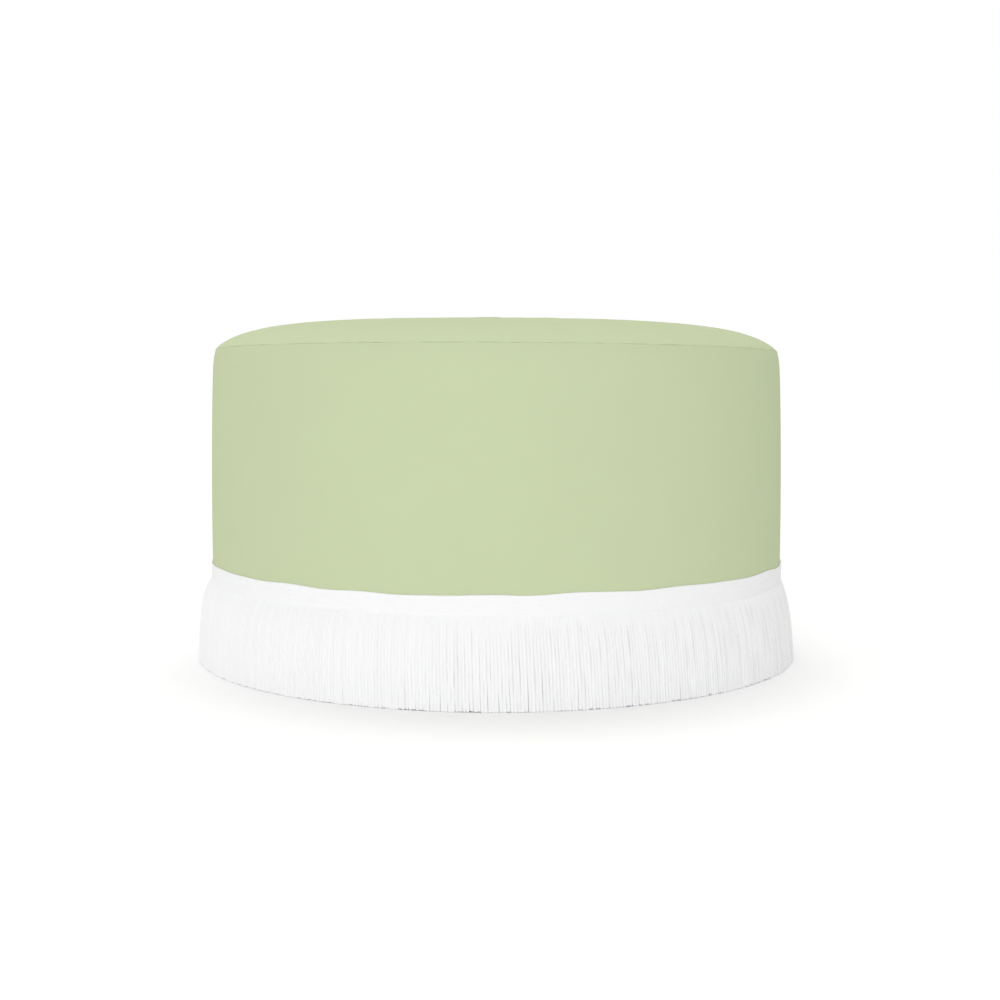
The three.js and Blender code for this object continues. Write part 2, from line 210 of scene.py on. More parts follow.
def new_group(name, inputs, outputs):
    """An empty shader node group with its sockets, and its input and output nodes."""
    tree = bpy.data.node_groups.new(name, "ShaderNodeTree")
    for socket_name, kind, value in inputs:
        socket = tree.interface.new_socket(socket_name, in_out="INPUT", socket_type="NodeSocket" + kind)
        if value is not None:
            socket.default_value = value
    for socket_name, kind in outputs:
        tree.interface.new_socket(socket_name, in_out="OUTPUT", socket_type="NodeSocket" + kind)
    return tree, tree.nodes.new("NodeGroupInput").outputs, tree.nodes.new("NodeGroupOutput").inputs


def use_group(tree, group, **inputs):
    """Places a node group in a tree and returns its outputs."""
    return add_node(tree, "ShaderNodeGroup", {"node_tree": group}, **inputs).outputs


# %% [markdown]
# ## Effects that several materials share
# Weave, fibre, mottling, grain and worn edges turn up on more than one finish, so each is a node
# group of its own. A group only gives back masks, heights and colours: the shader stays in the
# material. All of them read places in metres, so a thread is as wide on a strap as on the cover.

# %% Group: places round the drum
def make_round_places():
    """Turns a place into metres round the drum, from the front, and metres up the cloth.

    Below the drum the cloth runs inwards, so the distance from the axis counts as way down.
    """
    tree, given, result = new_group(
        "round_places",
        [("Place", "Vector", None), ("Radius", "Float", body_radius)],
        [("Around", "Float"), ("Up", "Float")],
    )
    part = add_node(tree, "ShaderNodeSeparateXYZ", Vector=given["Place"]).outputs
    angle = calc(tree, "ARCTAN2", part["X"], calc(tree, "MULTIPLY", part["Y"], -1.0))
    feed(tree, result["Around"], calc(tree, "MULTIPLY", angle, given["Radius"]))
    flat = add_node(tree, "ShaderNodeCombineXYZ", X=part["X"], Y=part["Y"]).outputs[0]
    length = add_node(tree, "ShaderNodeVectorMath", {"operation": "LENGTH"}, Vector=flat)
    inwards = length.outputs["Value"]
    feed(tree, result["Up"], calc(tree, "ADD", part["Z"], inwards))
    return tree


round_places = make_round_places()
print("node group:", round_places.name)

# %% [markdown]
# ## Weave
# In a plain weave each thread passes over one crossing thread and under the next. A picture of cloth
# would blur close up and show where it repeats. Two sine waves, one for each way of the threads, give
# the same pattern from a formula, with the height of the threads and a mask of the ones on top.

# %% Group: plain weave
def make_plain_weave():
    """Threads that pass over and under each other: their height and a mask of the upper ones."""
    tree, given, result = new_group(
        "plain_weave",
        [("Across", "Float", 0.0), ("Along", "Float", 0.0),
         ("Warp Pitch", "Float", 0.7 * MM), ("Weft Pitch", "Float", 0.7 * MM)],
        [("Height", "Float"), ("Warp On Top", "Float")],
    )
    across = calc(tree, "DIVIDE", given["Across"], given["Warp Pitch"])
    along = calc(tree, "DIVIDE", given["Along"], given["Weft Pitch"])
    wave_x = calc(tree, "SINE", calc(tree, "MULTIPLY", across, math.pi))
    wave_y = calc(tree, "SINE", calc(tree, "MULTIPLY", along, math.pi))
    crossing = calc(tree, "MULTIPLY", wave_x, wave_y)
    warp = calc(tree, "MULTIPLY", calc(tree, "ADD", calc(tree, "ABSOLUTE", wave_x), crossing), 0.5)
    weft = calc(tree, "MULTIPLY", calc(tree, "SUBTRACT", calc(tree, "ABSOLUTE", wave_y), crossing), 0.5)
    feed(tree, result["Height"], calc(tree, "MAXIMUM", warp, weft))
    feed(tree, result["Warp On Top"], calc(tree, "GREATER_THAN", warp, weft))
    return tree


plain_weave = make_plain_weave()
print("node group:", plain_weave.name)

# %% [markdown]
# ## Mottling
# No cloth, foam or board has one flat tone. Noise with a size in metres gives soft clouds, and the
# same noise stretched one way gives fibres and slubs, so one group serves both.

# %% Group: mottling
def make_mottle():
    """A soft uneven tone, 0 to 1, from noise of a size in metres, stretched along Z."""
    tree, given, result = new_group(
        "mottle",
        [("Place", "Vector", None), ("Size", "Float", 50 * MM), ("Stretch", "Float", 1.0),
         ("Fineness", "Float", 3.0)],
        [("Tone", "Float")],
    )
    shrink = add_node(
        tree, "ShaderNodeCombineXYZ",
        X=1.0, Y=1.0, Z=calc(tree, "DIVIDE", 1.0, given["Stretch"]),
    ).outputs[0]
    place = add_node(tree, "ShaderNodeVectorMath", {"operation": "MULTIPLY"})
    feed(tree, place.inputs[0], given["Place"])
    feed(tree, place.inputs[1], shrink)
    clouds = add_node(
        tree, "ShaderNodeTexNoise",
        Vector=place.outputs[0], Scale=calc(tree, "DIVIDE", 1.0, given["Size"]),
        Detail=given["Fineness"], Roughness=0.55,
    )
    feed(tree, result["Tone"], spread(tree, clouds.outputs[0], 0.28, 0.72, 0.0, 1.0))
    return tree


mottle = make_mottle()
print("node group:", mottle.name)

# %% [markdown]
# ## Tone on a colour
# Most finishes are one colour, a little lighter here and darker there. Mixing needs a second colour.
# Scaling the one colour by a tone keeps its hue, and a single amount says how uneven it is.

# %% Group: tone on a colour
def make_toned():
    """Makes a colour lighter and darker by an amount, as a tone of 0 to 1 says."""
    tree, given, result = new_group(
        "toned",
        [("Color", "Color", (0.5, 0.5, 0.5, 1)), ("Tone", "Float", 0.5), ("Amount", "Float", 0.1)],
        [("Color", "Color")],
    )
    swing = calc(tree, "MULTIPLY", calc(tree, "SUBTRACT", given["Tone"], 0.5), given["Amount"])
    scale = add_node(tree, "ShaderNodeVectorMath", {"operation": "SCALE"})
    feed(tree, scale.inputs[0], given["Color"])
    feed(tree, scale.inputs["Scale"], calc(tree, "MULTIPLY_ADD", swing, 2.0, 1.0))
    feed(tree, result["Color"], scale.outputs[0])
    return tree


toned = make_toned()
print("node group:", toned.name)

# %% [markdown]
# ## Wood grain
# Timber has broad growth bands and short fine pores, both drawn out along the trunk. A wave texture
# that noise bends gives the bands. The place is squeezed along the grain first, which draws out both.

# %% Group: wood grain
grain_squeeze = 0.08
pore_scale = 1400.0


def make_wood_grain():
    """Growth bands and fine pores that run along Z, in a place that may be turned first."""
    tree, given, result = new_group(
        "wood_grain",
        [("Place", "Vector", None), ("Band", "Float", 6 * MM), ("Wander", "Float", 2.0)],
        [("Bands", "Float"), ("Pores", "Float")],
    )
    stretched = add_node(tree, "ShaderNodeVectorMath", {"operation": "MULTIPLY"})
    feed(tree, stretched.inputs[0], given["Place"])
    stretched.inputs[1].default_value = (1, 1, grain_squeeze)
    wave = add_node(
        tree, "ShaderNodeTexWave", {"wave_type": "BANDS", "bands_direction": "X"},
        Vector=stretched.outputs[0], Scale=calc(tree, "DIVIDE", 0.05, given["Band"]),
        Distortion=given["Wander"], Detail=3.0, Detail_Scale=1.5,
    )
    pores = add_node(
        tree, "ShaderNodeTexNoise", Vector=stretched.outputs[0], Scale=pore_scale, Detail=2.0,
    )
    feed(tree, result["Bands"], wave.outputs["Fac"])
    feed(tree, result["Pores"], spread(tree, pores.outputs[0], 0.35, 0.65, 0.0, 1.0))
    return tree


wood_grain = make_wood_grain()
print("node group:", wood_grain.name)

# %% [markdown]
# ## Worn edges
# Corners lose their finish first. They could be painted by hand, but a bevelled normal differs from
# the plain one only near an edge, so that difference is a mask of the edges. Mottling breaks it up.

# %% Group: worn edges
def make_worn_edge():
    """A mask that is 1 on sharp outer edges and fades over a width, broken up by noise."""
    tree, given, result = new_group(
        "worn_edge", [("Place", "Vector", None), ("Width", "Float", 1 * MM)], [("Mask", "Float")],
    )
    soft = add_node(tree, "ShaderNodeBevel", {"samples": 4}, Radius=given["Width"])
    plain = add_node(tree, "ShaderNodeNewGeometry").outputs["Normal"]
    alike = add_node(tree, "ShaderNodeVectorMath", {"operation": "DOT_PRODUCT"})
    feed(tree, alike.inputs[0], soft.outputs[0])
    feed(tree, alike.inputs[1], plain)
    edge = spread(tree, alike.outputs["Value"], 0.98, 0.80, 0.0, 1.0)
    patches = use_group(tree, mottle, Place=given["Place"], Size=9 * MM)["Tone"]
    feed(tree, result["Mask"], calc(tree, "MULTIPLY", edge, patches))
    return tree


worn_edge = make_worn_edge()
print("node group:", worn_edge.name)

# %% [markdown]
# ## Finishes
# Each finish starts from a colour that is read off the photograph, or off such a material where the
# photograph doesn't show it. A tone then makes it uneven, a weave or a grain goes into the bump, and
# the shader's own sockets hold what is the same all over, such as the wadding's sheen.

# %% Helpers for materials
def paint(red, green, blue):
    """A colour as the shader wants it, from the 0 to 255 values that a picture shows."""
    shown = np.array([red, green, blue]) / 255
    linear = np.where(shown <= 0.04045, shown / 12.92, ((shown + 0.055) / 1.055) ** 2.4)
    return (*linear.tolist(), 1.0)


def new_finish(name, **constants):
    """A material, its node tree, its shader, and the output that gives places in metres."""
    material = bpy.data.materials.new(name)
    material.use_nodes = True
    tree = material.node_tree
    shader = tree.nodes["Principled BSDF"]
    for socket, value in constants.items():
        shader.inputs[socket.replace("_", " ")].default_value = value
    place = add_node(tree, "ShaderNodeTexCoord").outputs["Object"]
    return material, tree, shader, place


def tint(tree, shader, colour, tone, amount):
    """Sets the shader's colour to one colour, made uneven by a tone."""
    uneven = use_group(tree, toned, Color=colour, Tone=tone, Amount=amount)["Color"]
    feed(tree, shader.inputs["Base Color"], uneven)


def mix_colours(tree, mask, first, second):
    """The first colour where the mask is 0 and the second where it is 1."""
    node = tree.nodes.new("ShaderNodeMix")
    node.data_type = "RGBA"
    feed(tree, node.inputs["Factor"], mask)
    feed(tree, node.inputs[6], first)
    feed(tree, node.inputs[7], second)
    return node.outputs[2]


def relief(tree, shader, height, depth, strength=1.0):
    """Feeds a height of 0 to 1, which stands for a depth in metres, into the shader's normal."""
    bump = add_node(tree, "ShaderNodeBump", Strength=strength, Distance=depth, Height=height)
    feed(tree, shader.inputs["Normal"], bump.outputs[0])


def uneven_roughness(tree, shader, mask, first, second):
    """The first roughness where the mask is 0 and the second where it is 1."""
    feed(tree, shader.inputs["Roughness"], spread(tree, mask, 0.0, 1.0, first, second))


def kept_value(tree, label):
    """A number that the mesh keeps for each vertex."""
    return add_node(tree, "ShaderNodeAttribute", {"attribute_name": label}).outputs["Fac"]


def axes(tree, place):
    """The three parts of a place or a direction."""
    return add_node(tree, "ShaderNodeSeparateXYZ", Vector=place).outputs


def mottling(tree, place, size, **more):
    """The mottle group's tone at a place, for a size in metres."""
    return use_group(tree, mottle, Place=place, Size=size, **more)["Tone"]


def turned_place(tree, place, turn):
    """The place turned by a rotation, so that a grain can run another way."""
    return add_node(tree, "ShaderNodeMapping", Vector=place, Rotation=turn).outputs[0]


def weighed(tree, first, first_weight, second, second_weight):
    """Two tones added up, each with its weight."""
    parts = calc(tree, "MULTIPLY", first, first_weight), calc(tree, "MULTIPLY", second, second_weight)
    return calc(tree, "ADD", *parts)


print("red of middle grey as the shader wants it:", round(paint(128, 128, 128)[0], 3))

# %% [markdown]
# ## Cover cloth
# The cover is smooth cotton of a pale green, with threads too fine to see from a step away. They show
# only as a dull, even surface, and close up as a weave. On the side they run round the drum, and on
# the seat straight across, as the two pieces are cut, so the finish is made once for each.

# %% Finish: cover cloth
cloth_colour = paint(204, 215, 176)
thread_pitch = 0.55 * MM
thread_height = 0.09 * MM


def make_cover_cloth(name, round_the_drum):
    """Smooth cotton in a fine plain weave, with its threads round the drum or straight."""
    material, tree, shader, place = new_finish(name, Specular_IOR_Level=0.05)
    if round_the_drum:
        around, up = use_group(tree, round_places, Place=place)
    else:
        around, up, _ = axes(tree, place)
    weave = use_group(
        tree, plain_weave, Across=around, Along=up, Warp_Pitch=thread_pitch, Weft_Pitch=thread_pitch,
    )
    cloudy = mottling(tree, place, 70 * MM)
    slubs = mottling(tree, place, 1.4 * MM, Stretch=0.12)
    tone = weighed(tree, cloudy, 0.35, slubs, 0.65)
    warp_lighter = use_group(
        tree, toned, Color=cloth_colour, Tone=weave["Warp On Top"], Amount=0.015,
    )["Color"]
    tint(tree, shader, warp_lighter, tone, 0.02)
    uneven_roughness(tree, shader, weave["Height"], 0.95, 0.8)
    relief(tree, shader, weave["Height"], thread_height, 0.5)
    return material


cover_cloth_round = make_cover_cloth("cover_cloth_round", True)
cover_cloth_flat = make_cover_cloth("cover_cloth_flat", False)
print("finish:", cover_cloth_round.name, "and", cover_cloth_flat.name)

# %% [markdown]
# ## Fringe yarn
# The fringe is soft white cotton. Each cord's tone differs a little at random, and the grooves
# between cords are greyer from painted shade, which stands in for the shade of the grooves and of
# the fine hairs in them. Modelling the hairs would take millions of faces, so the cords' mesh keeps
# a tone and a mask of painted shade, and the material darkens the grooves by it. The heading is the
# same yarn, painted a touch darker as painted shade, and woven as a tape with binding threads across
# it.

# %% Finish: fringe yarn
yarn_colour = paint(253, 253, 254)
# The heading's yarn is painted a touch darker than the cords' yarn: painted shade that evens it with
# the more shaded cords.
heading_shaded_colour = paint(252, 252, 253)
# How much darker the painted shade makes the yarn in the grooves between cords.
groove_shade = 0.22
binding_pitch = 1.9 * MM
tape_pitch = 1.2 * MM


def make_fringe_yarn():
    """Soft white cotton yarn, with each cord's own tone and painted shade in its grooves."""
    material, tree, shader, place = new_finish("fringe_yarn_cords", Specular_IOR_Level=0.15)
    fibres = mottling(tree, place, 0.5 * MM, Stretch=9.0)
    own = kept_value(tree, "cord_tone")
    # The mesh's mask of painted shade in the grooves between cords.
    groove = kept_value(tree, "cord_painted_shade")
    painted_shade_colour = tuple(value * (1 - groove_shade) for value in yarn_colour[:3]) + (1.0,)
    shaded = mix_colours(tree, groove, yarn_colour, painted_shade_colour)
    tint(tree, shader, shaded, weighed(tree, fibres, 0.4, own, 0.6), 0.02)
    uneven_roughness(tree, shader, fibres, 0.9, 0.72)
    relief(tree, shader, fibres, 0.12 * MM, 0.4)
    return material


def make_heading_yarn():
    """The same yarn a touch darker, as painted shade, woven as a tape with thin binding threads across
    it.
    """
    material, tree, shader, place = new_finish("fringe_yarn_heading", Specular_IOR_Level=0.15)
    around, up = use_group(tree, round_places, Place=place)
    weave = use_group(
        tree, plain_weave, Across=around, Along=up, Warp_Pitch=binding_pitch, Weft_Pitch=tape_pitch,
    )
    fibres = mottling(tree, place, 0.6 * MM, Stretch=3.0)
    tint(tree, shader, heading_shaded_colour, fibres, 0.015)
    uneven_roughness(tree, shader, weave["Height"], 0.92, 0.75)
    relief(tree, shader, calc(tree, "MULTIPLY_ADD", fibres, 0.3, weave["Height"]), 0.25 * MM, 0.6)
    return material


fringe_yarn_cords = make_fringe_yarn()
fringe_yarn_heading = make_heading_yarn()
print("finish:", fringe_yarn_cords.name, "and", fringe_yarn_heading.name)

# %% [markdown]
# ## Wadding and foam finishes
# Wadding is a fluffy sheet of polyester fibre and the seat foam is cut cream foam with open cells.
# Neither shows on the finished tuffet. They get real finishes all the same, so that the model can be
# opened up or cut in half. Noise at two sizes makes the tufts, and a cell texture makes the pits.

# %% Finishes: wadding and foam
wadding_colour = paint(243, 243, 240)
foam_colour = paint(238, 226, 180)
cell_scale = 700.0


def make_wadding():
    """Fluffy polyester fibre."""
    material, tree, shader, place = new_finish("wadding_fibre", Sheen_Weight=0.3, Roughness=1.0)
    tufts = mottling(tree, place, 12 * MM, Fineness=6.0)
    fibres = mottling(tree, place, 0.8 * MM, Stretch=0.2)
    tint(tree, shader, wadding_colour, tufts, 0.05)
    relief(tree, shader, calc(tree, "MULTIPLY_ADD", fibres, 0.3, tufts), 1.2 * MM, 0.7)
    return material


def make_foam():
    """Cut cream foam with small open cells."""
    material, tree, shader, place = new_finish("foam_cells", Roughness=0.95)
    cells = add_node(tree, "ShaderNodeTexVoronoi", Vector=place, Scale=cell_scale)
    pits = spread(tree, cells.outputs["Distance"], 0.1, 0.6, 0.0, 1.0)
    cloudy = mottling(tree, place, 40 * MM)
    tint(tree, shader, foam_colour, calc(tree, "MULTIPLY_ADD", pits, -0.4, cloudy), 0.08)
    relief(tree, shader, pits, 0.6 * MM, 0.6)
    return material


wadding_fibre = make_wadding()
foam_cells = make_foam()
print("finish:", wadding_fibre.name, "and", foam_cells.name)

# %% [markdown]
# ## Jute and dust cloth finishes
# Hessian and webbing are both coarse jute in a plain weave, so they share the weave's group with
# wider threads. The webbing's mesh keeps the metres across and along each strap, because straps run
# both ways and dark stripes follow their edges. The dust cloth is black spunbond, pressed in points.

# %% Finishes: hessian, webbing and dust cloth
hessian_colour = paint(190, 164, 118)
webbing_colour = paint(178, 150, 104)
stripe_colour = paint(58, 50, 44)
spunbond_colour = paint(44, 44, 47)
stripe_offset = 16 * MM
stripe_half_width = 2.2 * MM


def make_hessian():
    """Coarse jute cloth over the webbing."""
    material, tree, shader, place = new_finish("hessian_jute", Roughness=0.95, Sheen_Weight=0.1)
    x, y, _ = axes(tree, place)
    weave = use_group(tree, plain_weave, Across=x, Along=y, Warp_Pitch=2.1 * MM, Weft_Pitch=2.3 * MM)
    hairs = mottling(tree, place, 2 * MM, Stretch=0.3)
    # Darker where the threads dip, a painted shade between the threads, with a random tone from the
    # hairs.
    tone = calc(tree, "MULTIPLY_ADD", weave["Height"], 0.6, calc(tree, "MULTIPLY", hairs, 0.4))
    tint(tree, shader, hessian_colour, tone, 0.22)
    relief(tree, shader, tone, 0.8 * MM, 0.8)
    return material


def make_webbing_finish():
    """Jute webbing with two dark stripes."""
    material, tree, shader, place = new_finish("webbing_jute", Roughness=0.9, Sheen_Weight=0.1)
    across = kept_value(tree, "across")
    along = kept_value(tree, "along")
    weave = use_group(
        tree, plain_weave, Across=across, Along=along, Warp_Pitch=1.5 * MM, Weft_Pitch=2.4 * MM,
    )
    from_middle = calc(tree, "ABSOLUTE", across)
    off_stripe = calc(tree, "ABSOLUTE", calc(tree, "SUBTRACT", from_middle, stripe_offset))
    stripe = calc(tree, "LESS_THAN", off_stripe, stripe_half_width)
    colour = mix_colours(tree, stripe, webbing_colour, stripe_colour)
    hairs = mottling(tree, place, 2 * MM)
    # Darker where the threads dip, a painted shade between the threads, with a random tone from the
    # hairs.
    tint(tree, shader, colour, calc(tree, "MULTIPLY_ADD", weave["Height"], 0.6, hairs), 0.14)
    relief(tree, shader, weave["Height"], 0.7 * MM, 0.8)
    return material


def make_dust_cloth_finish():
    """Thin black spunbond cloth, pressed in a grid of small points."""
    material, tree, shader, place = new_finish("dust_cloth_spunbond", Roughness=0.85, Sheen_Weight=0.15)
    x, y, _ = axes(tree, place)
    points = use_group(tree, plain_weave, Across=x, Along=y, Warp_Pitch=1.8 * MM, Weft_Pitch=1.8 * MM)
    fibres = mottling(tree, place, 2.5 * MM, Fineness=8.0)
    tint(tree, shader, spunbond_colour, fibres, 0.25)
    relief(tree, shader, calc(tree, "MULTIPLY_ADD", points["Height"], 0.5, fibres), 0.2 * MM, 0.6)
    return material


hessian_jute = make_hessian()
webbing_jute = make_webbing_finish()
dust_cloth_spunbond = make_dust_cloth_finish()
print("finish:", hessian_jute.name, webbing_jute.name, dust_cloth_spunbond.name)

# %% [markdown]
# ## Timber finishes
# The ring and the base board are birch plywood, the posts planed pine and the bent wall hardboard.
# Plywood shows a veneer's grain on its faces and thin plies on its cut edges. The direction of the
# face tells the two apart, so one material does both on a CAD solid that has no edge faces marked.

# %% Finishes: plywood, pine and hardboard
ply_colours = {"face": paint(216, 188, 144), "pale": paint(222, 196, 150), "dark": paint(164, 124, 80)}
pine_colours = {"pale": paint(226, 199, 148), "dark": paint(196, 156, 98), "worn": paint(232, 214, 176)}
hardboard_colour = paint(142, 104, 70)
ply_thickness = 0.7 * MM


def make_plywood():
    """Birch plywood, with its veneer and its cut edges."""
    material, tree, shader, place = new_finish("plywood_birch", Specular_IOR_Level=0.3)
    lying = turned_place(tree, place, (0, math.pi / 2, 0))
    grain = use_group(tree, wood_grain, Place=lying, Band=9 * MM, Wander=5.0)
    normal = add_node(tree, "ShaderNodeNewGeometry").outputs["True Normal"]
    upright = axes(tree, normal)["Z"]
    on_edge = calc(tree, "LESS_THAN", calc(tree, "ABSOLUTE", upright), 0.5)
    height = axes(tree, place)["Z"]
    ply = calc(tree, "PINGPONG", height, 2 * ply_thickness)
    dark_ply = calc(tree, "GREATER_THAN", ply, ply_thickness)
    plies = mix_colours(tree, dark_ply, ply_colours["pale"], ply_colours["dark"])
    face = use_group(tree, toned, Color=ply_colours["face"], Tone=grain["Bands"], Amount=0.09)["Color"]
    tint(tree, shader, mix_colours(tree, on_edge, face, plies), grain["Pores"], 0.06)
    uneven_roughness(tree, shader, grain["Pores"], 0.75, 0.6)
    relief(tree, shader, grain["Pores"], 0.08 * MM, 0.5)
    return material


def make_pine():
    """Planed pine posts, with their grain upright and their corners a little worn."""
    material, tree, shader, place = new_finish("pine_planed", Specular_IOR_Level=0.3)
    grain = use_group(tree, wood_grain, Place=place, Band=7 * MM, Wander=3.0)
    wear = use_group(tree, worn_edge, Place=place, Width=1.2 * MM)["Mask"]
    timber = mix_colours(tree, grain["Bands"], pine_colours["pale"], pine_colours["dark"])
    tint(tree, shader, mix_colours(tree, wear, timber, pine_colours["worn"]), grain["Pores"], 0.07)
    uneven_roughness(tree, shader, grain["Pores"], 0.72, 0.55)
    relief(tree, shader, grain["Bands"], 0.1 * MM, 0.5)
    return material


def make_hardboard():
    """Pressed brown fibreboard."""
    material, tree, shader, place = new_finish("hardboard_pressed", Specular_IOR_Level=0.35)
    flecks = mottling(tree, place, 3 * MM, Fineness=8.0)
    cloudy = mottling(tree, place, 60 * MM)
    tint(tree, shader, hardboard_colour, calc(tree, "MULTIPLY_ADD", cloudy, 0.4, flecks), 0.12)
    uneven_roughness(tree, shader, flecks, 0.8, 0.6)
    relief(tree, shader, flecks, 0.1 * MM, 0.5)
    return material


plywood_birch = make_plywood()
pine_planed = make_pine()
hardboard_pressed = make_hardboard()
print("finish:", plywood_birch.name, pine_planed.name, hardboard_pressed.name)

# %% [markdown]
# ## Finishes of the feet and the fasteners
# The feet are turned beech with a dark stain under a satin lacquer, which has worn through at the
# edges: there the wear mask takes away both the stain and the coat. The glides are nylon, scuffed by
# the floor. Bolts, nuts and screws are steel with a bright zinc coat, a metal with patches of haze.

# %% Finishes: feet, glides and steel
stain_colours = {"pale": paint(92, 62, 42), "dark": paint(58, 38, 26), "worn": paint(150, 112, 78)}
nylon_colour = paint(228, 228, 222)
zinc_colour = paint(206, 208, 212)
bare_steel_colour = paint(168, 164, 158)
spangle_scale = 900.0


def make_foot_wood():
    """Turned beech, stained dark and lacquered."""
    material, tree, shader, place = new_finish("foot_wood_stained", Coat_Roughness=0.25)
    grain = use_group(tree, wood_grain, Place=place, Band=5 * MM, Wander=2.5)
    wear = use_group(tree, worn_edge, Place=place, Width=0.8 * MM)["Mask"]
    stain = mix_colours(tree, grain["Bands"], stain_colours["pale"], stain_colours["dark"])
    tint(tree, shader, mix_colours(tree, wear, stain, stain_colours["worn"]), grain["Pores"], 0.12)
    uneven_roughness(tree, shader, grain["Pores"], 0.5, 0.38)
    feed(tree, shader.inputs["Coat Weight"], spread(tree, wear, 0.0, 1.0, 0.35, 0.0))
    relief(tree, shader, grain["Pores"], 0.05 * MM, 0.5)
    return material


def make_nylon():
    """White nylon, scuffed by the floor."""
    material, tree, shader, place = new_finish("nylon_scuffed")
    scuffs = mottling(tree, place, 1.2 * MM, Fineness=8.0)
    tint(tree, shader, nylon_colour, scuffs, 0.05)
    uneven_roughness(tree, shader, scuffs, 0.65, 0.35)
    relief(tree, shader, scuffs, 0.03 * MM, 0.4)
    return material


def make_zinc_steel():
    """Steel with a bright zinc coat, dull in patches and bare on its sharpest edges."""
    material, tree, shader, place = new_finish("zinc_steel_plated", Metallic=1.0)
    crystals = add_node(tree, "ShaderNodeTexVoronoi", Vector=place, Scale=spangle_scale)
    wear = use_group(tree, worn_edge, Place=place, Width=0.3 * MM)["Mask"]
    dull = mottling(tree, place, 2 * MM)
    tones = crystals.outputs["Color"]
    plate = use_group(tree, toned, Color=zinc_colour, Tone=tones, Amount=0.04)["Color"]
    tint(tree, shader, mix_colours(tree, wear, plate, bare_steel_colour), dull, 0.05)
    uneven_roughness(tree, shader, dull, 0.26, 0.45)
    return material


foot_wood_stained = make_foot_wood()
nylon_scuffed = make_nylon()
zinc_steel_plated = make_zinc_steel()
print("finish:", foot_wood_stained.name, nylon_scuffed.name, zinc_steel_plated.name)

# %% [markdown]
# ## Helpers for meshes
# Most pieces here are a grid of points that is bent into shape, because a grid gives even, clean
# faces and needs no modelling by hand. A turned piece is such a grid too: one row of points for each
# step of its outline, and one column for each step round the axis.

# %% Mesh helpers
def grid_faces(rows, columns, closed=False):
    """Quads of a grid of points, row after row. A closed grid goes round to its first column."""
    column = np.arange(columns if closed else columns - 1)
    after = (column + 1) % columns
    start = np.arange(rows - 1)[:, None] * columns
    corners = [start + column, start + after, start + columns + after, start + columns + column]
    return np.stack(corners, axis=-1).reshape(-1, 4)


def tube_faces(rows, sides, flipped=False):
    """Faces of a tube and its two ends. Flipped is for points that run the other way."""
    last = (rows - 1) * sides + np.arange(sides)
    face_sets = [grid_faces(rows, sides, True), np.arange(sides)[None, ::-1], last[None]]
    return [faces[:, ::-1] for faces in face_sets] if flipped else face_sets


def many_tubes(count, rows, sides, flipped=False):
    """Faces of that many equal tubes, whose points follow each other in one array."""
    starts = np.arange(count)[:, None, None] * rows * sides
    return [(faces + starts).reshape(-1, faces.shape[1]) for faces in tube_faces(rows, sides, flipped)]


def new_mesh(name, points, face_sets):
    """A smooth-shaded mesh from points and arrays of faces, one array for each corner count."""
    corners = np.concatenate([np.ravel(faces) for faces in face_sets]).astype(np.int32)
    counts = np.concatenate([np.full(len(faces), faces.shape[1]) for faces in face_sets])
    starts = (np.cumsum(counts) - counts).astype(np.int32)
    mesh = bpy.data.meshes.new(name)
    mesh.vertices.add(len(points))
    mesh.vertices.foreach_set("co", np.asarray(points, np.float32).ravel())
    mesh.loops.add(len(corners))
    mesh.loops.foreach_set("vertex_index", corners)
    mesh.polygons.add(len(counts))
    mesh.polygons.foreach_set("loop_start", starts)
    mesh.update(calc_edges=True)
    mesh.validate()
    mesh.shade_smooth()
    return mesh


def vertex_values(vertices, what):
    """The places or the normals of a mesh's vertices as an array."""
    found = np.empty(len(vertices) * 3, np.float32)
    vertices.foreach_get(what, found)
    return found.reshape(-1, 3)


def move_points(mesh, places):
    """Puts the vertices of a mesh at new places."""
    mesh.vertices.foreach_set("co", places.astype(np.float32).ravel())
    mesh.update()


def keep_values(mesh, label, values):
    """Keeps a number for each vertex, under a label that a material can read."""
    field = mesh.attributes.new(label, "FLOAT", "POINT")
    field.data.foreach_set("value", np.ascontiguousarray(values, np.float32).ravel())


def show(mesh, finish, slot, *nodes):
    """Puts a mesh in the scene as a piece of the tuffet, in place of its CAD nodes."""
    thing = bpy.data.objects.new(mesh.name, mesh)
    bpy.context.scene.collection.objects.link(thing)
    mesh.materials.clear()
    mesh.materials.append(finish)
    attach(thing, "root")
    if nodes:
        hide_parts(*nodes)
    print(f"piece {thing.name}: {len(mesh.polygons)} faces")
    return thing


def thicken(cloth, thickness, offset=-1):
    """Gives a sheet its thickness, on its inner side or, with no offset, on both."""
    shell = cloth.modifiers.new("thickness", "SOLIDIFY")
    shell.thickness = thickness
    shell.offset = offset


print("mesh helpers are ready")

# %% [markdown]
# ## Turned shapes and waves
# Most parts of a drum are round, and so are its feet and fasteners. Such a part is an outline, given
# as radii and heights, that is turned round the upright axis. Whatever isn't quite even on the real
# thing follows the round as well, so a sum of sine waves with whole numbers of turns gives a wander
# that closes on itself, and a seed makes it the same on each run.

# %% Turned shapes and waves
def points_at(radius, angle, height):
    """Points at a distance from the upright axis, an angle round it and a height."""
    parts = np.broadcast_arrays(radius * np.cos(angle), radius * np.sin(angle), height)
    return np.stack(parts, axis=-1)


def turned_points(radius, height, sides):
    """Points of an outline turned round Z. Sides is a number or an array of angles."""
    angle = np.arange(sides) * 2 * math.pi / sides if np.ndim(sides) == 0 else sides
    radius, height = (np.asarray(values, float) for values in (radius, height))
    radius = radius[:, None] if radius.ndim == 1 else radius
    height = height[:, None] if height.ndim == 1 else height
    return points_at(radius, angle, height)


